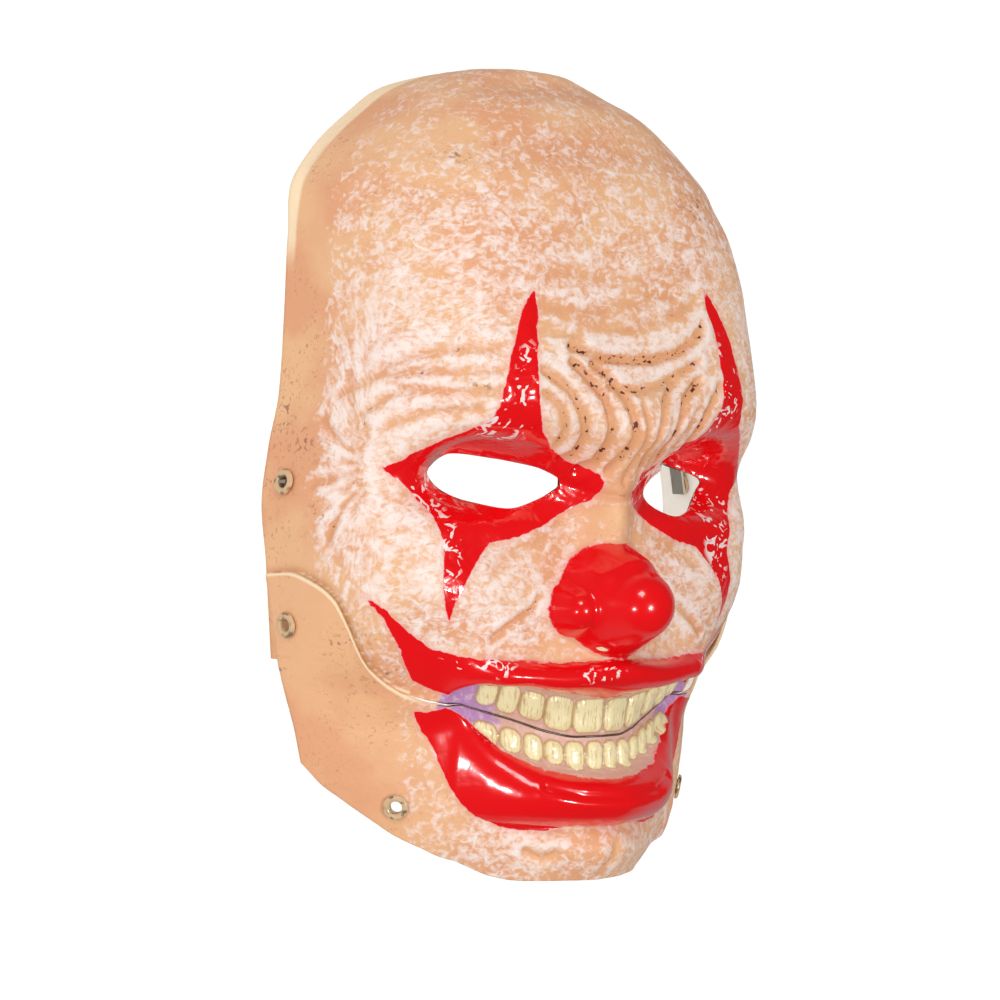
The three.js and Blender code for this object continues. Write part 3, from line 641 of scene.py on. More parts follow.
def eye_hole(side):
    """Inside test of an eye opening, which is cut straight through along Z."""
    drop = LEFT_EYE_DROP if side > 0 else 0
    places = [(side * x * HALF_WIDTH / UNROLLED, y * HALF_HEIGHT - drop) for x, y in EYE_OUTLINE]
    line = closed_curve(places, 6)

    def depth_of(point):
        return inside_outline(point[:, 0] / UNROLLED, point[:, 1], line)

    return hole_inside(side, EYE_WINDOW, depth_of)


def nostril_hole(side):
    tilt = side * NOSTRIL["tilt"]

    def depth_of(point):
        dx = point[:, 0] - side * NOSTRIL["x"] * HALF_WIDTH
        dy = point[:, 1] - NOSTRIL["y"] * HALF_HEIGHT
        along = dx * math.cos(tilt) + dy * math.sin(tilt)
        over = dy * math.cos(tilt) - dx * math.sin(tilt)
        return 1 - np.hypot(along / NOSTRIL["half_length"], over / NOSTRIL["half_width"])

    return hole_inside(side, NOSTRIL_WINDOW, depth_of)


def eyelet_seat(place, side, offset):
    """Centre on the shell's outer face and the direction outwards."""
    turn, y = np.array([side * place[0]]), np.array([place[1] * HALF_HEIGHT])

    def smooth_face(t, h):
        return face_point(t, h, fine=False)

    out = normal_of(smooth_face, turn, y)
    return Vector((smooth_face(turn, y) + out * offset)[0]), Vector(out[0])


def eyelet_hole(place, side, offset):
    centre, out = (np.array(vector) for vector in eyelet_seat(place, side, offset))
    turn, y = place[0], place[1] * HALF_HEIGHT

    def depth_of(point):
        away = point - centre
        away -= np.outer(away @ out, out)
        return EYELET_HOLE + EYELET_BARREL_WALL + EYELET_FIT - np.linalg.norm(away, axis=-1)

    return hole_inside(side, (turn - 9, turn + 9, y - 12, y + 12), depth_of)


def upper_grid():
    turns = columns()
    heights = spaced(*UPPER_BANDS)

    def turns_at(across, up):
        return np.interp(across * (len(turns) - 1), range(len(turns)), turns)

    def heights_at(turn, up):
        share = np.interp(up * (len(heights) - 1), range(len(heights)), heights)
        degrees = np.abs(turn)
        low = np.where(degrees > TAB_EDGE["turn"][0], tab_at(degrees), seam_at(degrees))
        low = low * HALF_HEIGHT + SEAM_GAP / 2
        face = low + (DOME_FROM_HEIGHT * HALF_HEIGHT - low) * share / DOME_FROM_BAND
        first = math.asin(DOME_FROM_HEIGHT)
        angle = first + (math.pi / 2 - first) * (share - DOME_FROM_BAND) / (1 - DOME_FROM_BAND)
        return np.where(share <= DOME_FROM_BAND, face, HALF_HEIGHT * np.sin(angle))

    bm = flat_grid(turns_at, heights_at, len(turns) - 1, len(heights) - 1)
    for side in (-1, 1):
        cut_hole(bm, eye_hole(side))
        cut_hole(bm, nostril_hole(side))
        cut_hole(bm, eyelet_hole(TEMPLE_EYELET, side, 0))
        cut_hole(bm, eyelet_hole(HINGE_EYELET, side, 0))
    return bm


def jaw_grid():
    turns = columns()
    heights = spaced(*JAW_BANDS)

    def turns_at(across, up):
        full = np.interp(across * (len(turns) - 1), range(len(turns)), turns)
        past = np.maximum(0, np.abs(full) - JAW_PLAIN_TURN)
        rear = JAW_REAR_TURN_LOW + (JAW_REAR_TURN_TOP - JAW_REAR_TURN_LOW) * up
        return np.sign(full) * (np.abs(full) - past * (90 - rear) / (90 - JAW_PLAIN_TURN))

    def heights_at(turn, up):
        share = np.interp(up * (len(heights) - 1), range(len(heights)), heights)
        low = jaw_low_at(np.abs(turn)) * HALF_HEIGHT
        top = seam_at(np.abs(turn)) * HALF_HEIGHT - SEAM_GAP / 2
        return low + (top - low) * share

    bm = flat_grid(turns_at, heights_at, len(turns) - 1, len(heights) - 1)
    stand_off = JAW_CLEARANCE + WALL
    for side in (-1, 1):
        cut_hole(bm, eyelet_hole(HINGE_EYELET, side, stand_off))
        cut_hole(bm, eyelet_hole(JAW_EYELET, side, stand_off))
    return bm


# Paint and painted shade, kept as numbers on the vertices


def soft_spot(turn, y, at_turn, at_y, spread_turn, spread_y):
    return np.exp(-(((turn - at_turn) / spread_turn) ** 2) - ((y - at_y) / spread_y) ** 2)


def spots_of(rows, turn, y):
    share = 0 * y
    for at_turn, at_y, spread_turn, spread_y in rows_of(rows):
        share = np.maximum(share, soft_spot(turn, y, at_turn, at_y, spread_turn, spread_y))
    return share


def paint_values(turn, y, point):
    """What the sprayed paint and the painted shade at the seam and round the eyes do at each place: distances
    in millimetres, or shares from 0 to 1.
    """
    side = np.abs(turn)
    x = plain_point(turn, y)[:, 0]
    lips = np.maximum(inside_outline(side, y, UPPER_LIP_PAINT), inside_outline(side, y, LOWER_LIP_PAINT))
    # The left spike leans in at its top and is taller, and the band below that eye is lower
    left = (turn > 0) * 1.0
    eye_turn = side + left * LEFT_SPIKE_LEAN * ramp(46, 62, y)
    eye_height = y - left * (LEFT_SPIKE_RISE * ramp(36, 60, y) - LEFT_BAND_DROP * ramp(5, -10, y))
    red = np.maximum(lips, inside_outline(eye_turn, eye_height, EYE_PAINT))
    bare = skin_point(turn, y)
    nose = np.clip((nose_over(bare) - bare[:, 2] - NOSE_PAINT_RISE) * 0.5, -9, 9)
    deep, swell = crease_depth(turn, y)
    white = sum(share * soft_spot(side, y, *spot) for *spot, share in rows_of(WHITENED))
    seam = y - seam_at(side) * HALF_HEIGHT
    plain = np.maximum(ramp(70, 80, side), ramp(56, 62, side) * (seam < 0))
    # The bridge of the nose has few scratches
    plain = np.maximum(plain, 0.6 * soft_spot(turn, y, -2, -8, 8, 16))
    white = np.clip(LEAST_WHITE + 0.7 * white, 0, MOST_WHITE) * (1 - plain) + PLAIN_WHITE * plain
    past_corner = (side - NEAR_EYE_CORNER[0]) * UNROLLED
    over_corner = (y - NEAR_EYE_CORNER[1]) / FAN_STRETCH
    away = np.hypot(past_corner, over_corner)
    return {
        "red": np.maximum(red, nose),
        "mouth": inside_mouth(x, y) + 2.0,
        "tooth": inside_teeth(turn, x, y),
        "crease": np.clip(deep / 1.6, 0, 1),
        "ridge": np.clip(swell / 0.5, 0, 1) * (1 - np.clip(deep, 0, 1)),
        "white": white,
        "chips": spots_of(CHIPPED, turn, y),
        "specks": spots_of(SPECKLED, turn, y),
        "smooth": np.maximum(ramp(-1.0, 1.0, nose), 0.92 * ramp(-1.0, 1.0, lips)),
        "fan": ramp(62, 40, away) * ramp(8, 20, away) * ramp(-6, 8, past_corner),
        "fan_aim": FAN_MIDDLE * np.arctan2(over_corner, past_corner),
        "fan_reach": away,
        "seam": np.abs(seam),
        "plate_edge": ramp(50, 56, side) * (seam < 0) * ramp(1.3, 0.7, -seam),
        # Painted shadow: a line on the upper shell just above the seam, beside the jaw plates
        "shadow": ramp(50, 56, side) * (seam > 0) * ramp(3.2, 0.4, seam),
        "cream": ramp(5.6, 4.6, point[:, 2]) * ramp(0.46, 0.56, y / HALF_HEIGHT),
        "corner": ramp(26, 40, side),
        # Painted shade: the cut edge round the eyes is darkened as if in shadow
        "eye_edge_shade": ramp(40, 30, np.abs(y + 5)) * ramp(60, 52, side),
        "across": turn * UNROLLED,
        "height": y,
    }


def skin_relief(point):
    """Low lumps of the moulded skin, in millimetres."""
    lumps = [[high * noise.noise(Vector(p) / size) for size, high in SKIN_LUMPS] for p in point]
    return np.array([sum(heights) for heights in lumps])


def rolled_shell(name, bm, offset_at, materials):
    """Rolls a flat grid on to the face, stores its paint and gives it its wall."""
    flat = np.array([v.co[:2] for v in bm.verts])
    turn, y = flat[:, 0], flat[:, 1]
    point = face_point(turn, y)
    out = normal_of(plain_point, turn, np.minimum(y, HALF_HEIGHT * 0.9995))
    values = paint_values(turn, y, point)
    quiet = ramp(1, 8, point[:, 2]) * (1 - 0.85 * values["smooth"])
    point += out * (offset_at(turn) + skin_relief(point) * quiet)[:, None]
    point[:, 2] = np.where(np.abs(turn) > 89.99, 0, point[:, 2])
    layers = {key: bm.verts.layers.float.new(key) for key in values}
    for key, layer in layers.items():
        for vert, value in zip(bm.verts, values[key]):
            vert[layer] = float(value)
    for vert, place in zip(bm.verts, point):
        vert.co = Vector(place) * MM
    bmesh.ops.remove_doubles(bm, verts=bm.verts, dist=1e-6)
    piece = finished(name, bm, materials)
    wall = piece.modifiers.new("Wall", "SOLIDIFY")
    wall.thickness = WALL * MM
    wall.offset = -1
    wall.use_quality_normals = True
    wall.material_offset = 1
    wall.material_offset_rim = 2
    return piece


def finished(name, bm, materials):
    """A smooth mesh object at the origin."""
    mesh = bpy.data.meshes.new(name)
    bm.to_mesh(mesh)
    bm.free()
    for material in materials:
        mesh.materials.append(material)
    mesh.shade_smooth()
    piece = bpy.data.objects.new(name, mesh)
    bpy.context.scene.collection.objects.link(piece)
    return piece


# Materials


def node(tree, kind, inputs=(), output=0, **settings):
    """Adds a shader node with its settings, values and links, and gives one of its outputs.

    Inputs are a dict of sockets, or a row that fills the first sockets in order."""
    made = tree.nodes.new("ShaderNode" + kind)
    for key, value in settings.items():
        setattr(made, key, value)
    for socket, value in inputs.items() if isinstance(inputs, dict) else enumerate(inputs):
        if isinstance(value, bpy.types.NodeSocket):
            tree.links.new(value, made.inputs[socket])
        else:
            made.inputs[socket].default_value = value
    return made.outputs[output]


# Settings of the nodes that are used most
TIMES = {"operation": "MULTIPLY"}
PLUS = {"operation": "ADD"}
MINUS = {"operation": "SUBTRACT"}
LARGER = {"operation": "MAXIMUM"}
SOFT_STEP = {"interpolation_type": "SMOOTHSTEP"}
IN_COLOUR = {"data_type": "RGBA", "output": 2}

# Patterns of the sprayed skin: size of a mark in millimetres, detail, distortion and roughness
SKIN_PATTERNS = {
    "clouds": (34, 3, 0, 0.5),
    "worms": (3.5, 2.6, 1.0, 0.56),
    "drifts": (9, 3, 0, 0.5),
    "grains": (1.5, 2, 0.8, 0.5),
    "dust patches": (26, 2, 0, 0.5),
    "crease patches": (13, 2, 0, 0.5),
    "dots": (2.2, 1.5, 0, 0.5),
    "gum edge": (4, 2, 0, 0.5),
    "gum marks": (2.5, 3, 1, 0.5),
    "ragged edge": (3, 3, 0.5, 0.5),
    "chip shapes": (4.8, 1.5, 1.6, 0.5),
    "waves": (6, 1.5, 0.8, 0.5),
}
# Streaks along one stored distance and across another: their length, width and distortion
SKIN_STREAKS = {
    "brow streaks": ("across", "height", 6.4, 3.2, 1.6),
    "fan streaks": ("fan_reach", "fan_aim", 9.0, 3.0, 1.2),
    "stains": ("height", "across", 4.5, 1.3, 0.3),
}
STORED = (
    "red mouth tooth crease ridge white chips specks smooth fan fan_aim fan_reach seam plate_edge "
    "shadow cream corner across height"
).split()


def new_material(name):
    material = bpy.data.materials.new(name)
    material.use_nodes = True
    return material, material.node_tree, material.node_tree.nodes["Principled BSDF"]


def painted_skin(name, look, flesh, speckle_share):
    """Matt flesh lacquer sprayed by hand on formed sheet, with gloss red on the clown's marks.

    It gives a tan ground broken by small white scratches, brown dust in the creases, and flat
    red that mirrors the lights in small sharp spots."""
    material, tree, shader = new_material(name)
    add = partial(node, tree)
    stored = {key: add("Attribute", output="Fac", attribute_name=key) for key in STORED}
    white, crease, mouth, tooth = (stored[key] for key in ("white", "crease", "mouth", "tooth"))
    drawn = {}
    place = add("TexCoord", output="Object")
    for key, (size, detail, distortion, rough) in SKIN_PATTERNS.items():
        inputs = {"Vector": place, "Scale": 1 / (size * MM), "Detail": detail, "Distortion": distortion}
        drawn[key] = add("TexNoise", {**inputs, "Roughness": rough})
    for key, (along, over, length, width, distortion) in SKIN_STREAKS.items():
        long = add("Math", (stored[along], length), operation="DIVIDE")
        wide = add("Math", (stored[over], width), operation="DIVIDE")
        inputs = {"Vector": add("CombineXYZ", (long, wide)), "Scale": 1.0, "Distortion": distortion}
        drawn[key] = add("TexNoise", {**inputs, "Detail": 3.0, "Roughness": 0.6})

    # Ground: tan with warmer clouds
    cloudy = add("MapRange", (drawn["clouds"], 0.4, 0.62), **SOFT_STEP)
    # White scratches follow the skin: across the brow, and fanned out beside the eyes
    flowing = add("Mix", {0: stored["fan"], 2: drawn["brow streaks"], 3: drawn["fan streaks"]})
    streaky = add("MapRange", (white, 0.1, 0.8, 0.35, 0.55), **SOFT_STEP)
    raised = add("Mix", {0: streaky, 2: drawn["worms"], 3: flowing})
    # There are more of them where the paint is white, in drifts, and on ridges beside creases
    leanings = ((white, 0.56, 0.19), (drawn["drifts"], 0.5, 0.22), (stored["ridge"], crease, 0.12))
    for source, middle, share in leanings:
        lean = add("Math", (source, middle), **MINUS)
        lean = add("Math", (lean, share), **TIMES)
        raised = add("Math", (raised, lean), **PLUS)
    pink = add("MapRange", (raised, 0.4, 0.52, 0, 0.5), **SOFT_STEP)
    scratch = add("MapRange", (raised, 0.43, 0.66), **SOFT_STEP)
    scratch_share = add("MapRange", (white, 0, 0.6, 0.7, 0.9), **SOFT_STEP)
    scratch = add("Math", (scratch, scratch_share), **TIMES)
    # Brown dust: fine grains on the ground, tan in the creases, dark dots there and in clusters
    dusty = add("Math", (white, 0.4), **TIMES)
    dusty = add("Math", (speckle_share, dusty), **MINUS)
    grain = add("MapRange", (drawn["grains"], 0.6, 0.68), **SOFT_STEP)
    patch = add("MapRange", (drawn["dust patches"], 0.4, 0.62, 0, 0.6), **SOFT_STEP)
    dust = add("Math", (grain, dusty), **TIMES)
    dust = add("Math", (dust, patch), **TIMES)
    tan = add("Math", (crease, 0.45), **TIMES)
    in_creases = add("Math", (crease, drawn["crease patches"]), **PLUS)
    in_creases = add("MapRange", (in_creases, 1.08, 1.24), **SOFT_STEP)
    gathered = add("Math", (stored["specks"], 0.6), **TIMES)
    gathered = add("Math", (gathered, in_creases), **LARGER)
    dots = add("MapRange", (drawn["dots"], 0.59, 0.63), **SOFT_STEP)
    dots = add("Math", (dots, gathered), **TIMES)
    # Painted shadow: a tan line on the upper shell just above the seam, beside the jaw plates
    shadow = add("Math", (stored["shadow"], 0.55), **TIMES)
    # Gums: mauve at the corners, pink in the middle
    at_corner = add("Math", (stored["corner"], drawn["gum edge"]), **PLUS)
    at_corner = add("MapRange", (at_corner, 0.85, 1.15), **SOFT_STEP)
    gum = add("Mix", {0: at_corner, 6: colour(look.gum_hex), 7: colour(look.mauve_hex)}, **IN_COLOUR)
    mark = add("MapRange", (drawn["gum marks"], 0.5, 0.7, 0, 0.35), **SOFT_STEP)
    gum = add("Mix", {0: mark, 6: gum, 7: colour(look.white_hex)}, **IN_COLOUR)
    on_gum = add("MapRange", (mouth, 0, 0.5), **SOFT_STEP)
    # Teeth: cream with brown stains in streaks, and brown painted shade at their edges
    stain_and_shade = colour(look.stain_and_shade_hex)
    streaked = add("MapRange", (drawn["stains"], 0.48, 0.72, 0, 0.6), **SOFT_STEP)
    ivory = add("Mix", {0: streaked, 6: colour(look.tooth_hex), 7: stain_and_shade}, **IN_COLOUR)
    tooth_edge_shade = add("MapRange", (tooth, 0.9, 0, 0, 0.8), **SOFT_STEP)
    ivory = add("Mix", {0: tooth_edge_shade, 6: ivory, 7: stain_and_shade}, **IN_COLOUR)
    on_tooth = add("MapRange", (tooth, -0.15, 0.2), **SOFT_STEP)
    deep_in = add("MapRange", (mouth, 1.2, 2), **SOFT_STEP)
    on_tooth = add("Math", (on_tooth, deep_in), **TIMES)
    # Red with a ragged edge, a pink haze of overspray round it, and chips that show the primer
    ragged = add("Math", (drawn["ragged edge"], 0.5), **MINUS)
    ragged = add("Math", (ragged, 1.6), **TIMES)
    ragged = add("Math", (stored["red"], ragged), **PLUS)
    on_red = add("MapRange", (ragged, -0.25, 0.3), **SOFT_STEP)
    chipped = add("MapRange", (drawn["chip shapes"], 0.585, 0.605, 0, 0.9), **SOFT_STEP)
    worn = add("MapRange", (stored["chips"], 0.25, 0.55), **SOFT_STEP)
    chipped = add("Math", (chipped, worn), **TIMES)
    unchipped = add("Math", (1, chipped), **MINUS)
    sprayed = add("Math", (on_red, unchipped), **TIMES)
    haze = add("MapRange", (ragged, -2.6, 0, 0, 0.3), **SOFT_STEP)
    off_gum = add("Math", (1, on_gum), **MINUS)
    haze = add("Math", (haze, off_gum), **TIMES)
    # Painted shade: a thin dark line in the gap where the two shells meet between the teeth
    line = add("MapRange", (stored["seam"], 0.55, 0.2), **SOFT_STEP)
    for key, low, high in (("corner", 1.4, 0.9), ("mouth", -0.5, 0.5)):
        there = add("MapRange", (stored[key], low, high), **SOFT_STEP)
        line = add("Math", (line, there), **TIMES)

    coats = (
        (cloudy, colour(look.warm_flesh_hex)),
        (pink, colour(look.veil_hex)),
        (scratch, colour(look.white_hex)),
        (dust, colour(look.speckle_hex)),
        (tan, colour(look.crease_and_shade_hex)),
        (dots, colour(look.dot_hex)),
        (shadow, colour(look.crease_and_shade_hex)),
        (stored["plate_edge"], colour(look.cream_hex)),
        (stored["cream"], colour(look.cream_hex)),
        (on_gum, gum),
        (on_tooth, ivory),
        (haze, colour(look.haze_hex)),
        (on_red, colour(look.primer_hex)),
        (sprayed, colour(look.red_hex)),
        # Painted shade of the seam gap between the teeth
        (line, colour(look.edge_shade_hex)),
    )
    skin = flesh
    for share, coat in coats:
        skin = add("Mix", {0: share, 6: skin, 7: coat}, **IN_COLOUR)
    tooth_gloss = add("Math", (on_tooth, 0.8), **TIMES)
    gloss = add("Math", (on_red, tooth_gloss), **LARGER)

    # The scratches are a little raised, and the red lies in shallow waves except on nose and lips
    off_red = add("MapRange", (on_red, 0, 1, 1, 0), **SOFT_STEP)
    scratches = add("Math", (raised, 0.5), **MINUS)
    scratches = add("Math", (scratches, off_red), **TIMES)
    calm = add("Math", (stored["smooth"], 0.9), **TIMES)
    wavy = add("Math", (1, calm), **MINUS)
    wavy = add("Math", (on_red, wavy), **TIMES)
    waves = add("Math", (drawn["waves"], 0.5), **MINUS)
    waves = add("Math", (waves, wavy), **TIMES)
    waves = add("Math", (waves, 1.3), **TIMES)
    height = add("Math", (scratches, waves), **PLUS)
    normal = add("Bump", {"Strength": 1.0, "Distance": 0.42 * MM, "Height": height})
    shader.inputs["IOR"].default_value = 1.5
    shader.inputs["Coat Roughness"].default_value = 0.1
    links = {
        "Base Color": skin,
        "Roughness": add("MapRange", (gloss, 0, 1, 0.46, 0.2), **SOFT_STEP),
        "Coat Weight": add("Math", (gloss, 0.9), **TIMES),
        "Normal": normal,
        "Coat Normal": normal,
    }
    for socket, source in links.items():
        tree.links.new(source, shader.inputs[socket])
    return material


def bare_sheet(look):
    """Bare formed plastic sheet: the pale satin inside of the shells."""
    material, _, shader = new_material("Bare formed plastic sheet")
    shader.inputs["Base Color"].default_value = colour(look.bare_hex)
    shader.inputs["Roughness"].default_value = 0.38
    shader.inputs["IOR"].default_value = 1.5
    return material


def cut_edge(look):
    """Trimmed edge of the sheet: pale plastic, with painted shade in dark brown round the eyes."""
    material, tree, shader = new_material("Trimmed plastic edge")
    painted_eye_shade = node(tree, "Attribute", output="Fac", attribute_name="eye_edge_shade")
    both = {0: painted_eye_shade, 6: colour(look.cream_hex), 7: colour(look.edge_shade_hex)}
    tree.links.new(node(tree, "Mix", both, **IN_COLOUR), shader.inputs["Base Color"])
    shader.inputs["Roughness"].default_value = 0.5
    shader.inputs["IOR"].default_value = 1.5
    return material


def sprayed_brass(look):
    """Rolled brass eyelet, sprayed over with flesh lacquer that has worn off the roll."""
    material, tree, shader = new_material("Sprayed brass")
    place = node(tree, "TexCoord", output="Object")
    wear = node(tree, "TexNoise", {"Vector": place, "Scale": 1 / (2.2 * MM), "Detail": 3.0})
    worn = node(tree, "MapRange", (wear, 0.52, 0.62))
    both = {0: worn, 6: colour(look.eyelet_hex), 7: colour(look.worn_hex)}
    tree.links.new(node(tree, "Mix", both, **IN_COLOUR), shader.inputs["Base Color"])
    tree.links.new(worn, shader.inputs["Metallic"])
    shader.inputs["Roughness"].default_value = 0.32
    return material


def zinced_steel():
    """Flat zinc-plated steel of the strap ends: pale grey with a soft sheen."""
    material, _, shader = new_material("Zinc-plated steel")
    shader.inputs["Base Color"].default_value = colour("#D8D4CA")
    shader.inputs["Metallic"].default_value = 1.0
    shader.inputs["Roughness"].default_value = 0.34
    return material


def black_elastic():
    """Woven polyester elastic: matt black with fine ribs along the band, 1 mm apart."""
    material, tree, shader = new_material("Woven black elastic")
    stripes = []
    for key, spacing in (("rib", 1.0), ("along", 0.8)):
        place = node(tree, "Attribute", output="Fac", attribute_name=key)
        angle = node(tree, "Math", (place, 2 * math.pi / spacing), **TIMES)
        stripes.append(node(tree, "Math", (angle,), operation="SINE"))
    weave = node(tree, "Math", stripes, **PLUS)
    normal = node(tree, "Bump", {"Strength": 0.7, "Distance": 0.2 * MM, "Height": weave})
    tree.links.new(normal, shader.inputs["Normal"])
    shader.inputs["Base Color"].default_value = colour("#161515")
    shader.inputs["Roughness"].default_value = 0.85
    return material


# What a user would change


class MaskPaint(bpy.types.PropertyGroup):
    """Colours of the sprayed paint and of the painted shade, as sRGB hex values."""

    flesh_hex: bpy.props.StringProperty(
        name="Flesh", description="Ground colour of the face", default="#F2BC8C"
    )
    jaw_hex: bpy.props.StringProperty(
        name="Jaw flesh", description="Ground colour of the jaw", default="#F2B888"
    )
    warm_flesh_hex: bpy.props.StringProperty(
        name="Warm flesh", description="Clouds in the ground", default="#EBA87C"
    )
    white_hex: bpy.props.StringProperty(
        name="White", description="Scratches over the ground", default="#FFEFE7"
    )
    veil_hex: bpy.props.StringProperty(
        name="Veil", description="Pink-white spray under the scratches", default="#F8D2C0"
    )
    speckle_hex: bpy.props.StringProperty(name="Speckle", description="Fine brown dust", default="#B9785C")
    # Also the colour of the painted shadow line above the seam beside the jaw plates
    crease_and_shade_hex: bpy.props.StringProperty(name="Crease", description="Tan in the creases", default="#DB9260")
    dot_hex: bpy.props.StringProperty(
        name="Dots", description="Dark dots in creases and clusters", default="#6A2A26"
    )
    haze_hex: bpy.props.StringProperty(name="Haze", description="Overspray round the red", default="#F2A09A")
    primer_hex: bpy.props.StringProperty(name="Primer", description="White in the chips", default="#FFF4F0")
    red_hex: bpy.props.StringProperty(name="Red", description="The clown's marks", default="#F0060E")
    tooth_hex: bpy.props.StringProperty(name="Teeth", description="Ivory of the teeth", default="#FFF3C0")
    # Brown stains on the teeth, and the painted shade at their edges
    stain_and_shade_hex: bpy.props.StringProperty(name="Stain", description="Brown on the teeth", default="#B8813F")
    gum_hex: bpy.props.StringProperty(name="Gum", description="Gums in the middle", default="#E6B4A4")
    mauve_hex: bpy.props.StringProperty(name="Mauve", description="Gums at the corners", default="#C592C4")
    cream_hex: bpy.props.StringProperty(name="Cream", description="Bare rim and edges", default="#FFE3BD")
    # Painted shade: dark brown on the cut edge round the eyes and in the seam line between the teeth
    edge_shade_hex: bpy.props.StringProperty(name="Eye edge", description="Edge round the eyes", default="#2A1008")
    bare_hex: bpy.props.StringProperty(
        name="Bare sheet", description="Inside of the shells", default="#FBF4EC"
    )
    eyelet_hex: bpy.props.StringProperty(
        name="Eyelet spray", description="Spray on the eyelets", default="#D9B48C"
    )
    worn_hex: bpy.props.StringProperty(
        name="Eyelet metal", description="Metal where it is worn", default="#D8C7A0"
    )


class MaskStudio(bpy.types.PropertyGroup):
    """The stage that the mask is shown on."""

    distance: bpy.props.FloatProperty(
        name="Camera distance", description="From the camera to the mask", default=1.2, unit="LENGTH"
    )
    side_angle: bpy.props.FloatProperty(
        name="Side angle",
        description="How far the camera stands to the mask's right",
        default=math.radians(39.5),
        subtype="ANGLE",
    )
    lens: bpy.props.FloatProperty(name="Lens", description="Focal length in mm", default=117.9)
    lamp_power: bpy.props.FloatProperty(
        name="Lamp power", description="Power of which each lamp takes its share", default=3.4, unit="POWER"
    )


# Operators


class MASK_OT_upper_face(bpy.types.Operator):
    """Builds the upper shell: dome, brow, eyes, nose, upper lip and teeth"""

    bl_idname = "mask.upper_face"
    bl_label = "Upper face"

    def execute(self, context):
        look = context.scene.mask_paint
        skin = painted_skin("Sprayed lacquer on formed sheet", look, colour(look.flesh_hex), 0.75)
        sheet, edge = bare_sheet(look), cut_edge(look)
        piece = rolled_shell("upper_face", upper_grid(), lambda turn: 0 * turn, [skin, sheet, edge])
        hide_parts("upper_shell")
        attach(piece, "upper")
        return {"FINISHED"}


class MASK_OT_jaw_face(bpy.types.Operator):
    """Builds the jaw: lower lip, lower teeth, chin and the two side plates"""

    bl_idname = "mask.jaw_face"
    bl_label = "Jaw"

    def execute(self, context):
        look = context.scene.mask_paint
        skin = painted_skin("Sprayed lacquer on the jaw", look, colour(look.jaw_hex), 0.45)
        sheet, edge = bare_sheet(look), cut_edge(look)
        piece = rolled_shell("jaw_face", jaw_grid(), jaw_offset, [skin, sheet, edge])
        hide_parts("jaw_shell")
        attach(piece, "jaw")
        return {"FINISHED"}


def rolled_eyelet(name, seat, grip, material):
    """An eyelet spun from its profile: a round outer roll, a barrel and a flat back."""
    centre, out = seat
    hole, flange = EYELET_HOLE, EYELET_FLANGE
    barrel = hole + EYELET_BARREL_WALL
    back = -grip - EYELET_FIT
    front = [(hole, back)]
    for i in range(13):
        angle = math.pi * i / 12
        middle, half = (hole + flange) / 2, (flange - hole) / 2
        rise = EYELET_FIT + EYELET_FOOT + EYELET_ROLL * math.sin(angle)
        front.append((middle - half * math.cos(angle), rise))
    profile = front + [
        (flange, EYELET_FIT),
        (barrel, EYELET_FIT),
        (barrel, back),
        (flange - 0.45, back),
        (flange - 0.8, back - EYELET_BACK),
        (hole + 0.6, back - EYELET_BACK),
    ]
    bm = bmesh.new()
    verts = [bm.verts.new((r * MM, 0, h * MM)) for r, h in profile]
    edges = [bm.edges.new((a, b)) for a, b in zip(verts, verts[1:] + verts[:1])]
    turn = {"cent": (0, 0, 0), "axis": (0, 0, 1), "angle": 2 * math.pi, "use_merge": True}
    bmesh.ops.spin(bm, geom=verts + edges, steps=EYELET_SEGMENTS, **turn)
    bmesh.ops.recalc_face_normals(bm, faces=bm.faces)
    turned = out.to_track_quat("Z", "Y").to_matrix().to_4x4()
    bmesh.ops.transform(bm, matrix=Matrix.Translation(centre * MM) @ turned, verts=bm.verts)
    piece = finished(name, bm, [material])
    piece.data.set_sharp_from_angle(angle=math.radians(50))
    return piece


class MASK_OT_eyelets(bpy.types.Operator):
    """Spins the six rolled eyelets at the temples, hinges and jaw corners"""

    bl_idname = "mask.eyelets"
    bl_label = "Eyelets"

    def execute(self, context):
        brass = sprayed_brass(context.scene.mask_paint)
        stand_off = JAW_CLEARANCE + WALL
        kinds = (
            ("temple_eyelet", TEMPLE_EYELET, 0, WALL, "upper"),
            ("hinge_eyelet", HINGE_EYELET, stand_off, stand_off + WALL, "upper"),
            ("jaw_eyelet", JAW_EYELET, stand_off, WALL, "jaw"),
        )
        for kind, place, offset, grip, body in kinds:
            for side, tag in ((-1, "right"), (1, "left")):
                seat = eyelet_seat(place, side, offset)
                piece = rolled_eyelet(f"{kind}_{tag}_roll", seat, grip, brass)
                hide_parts(f"{kind}_{tag}")
                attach(piece, body)
        return {"FINISHED"}


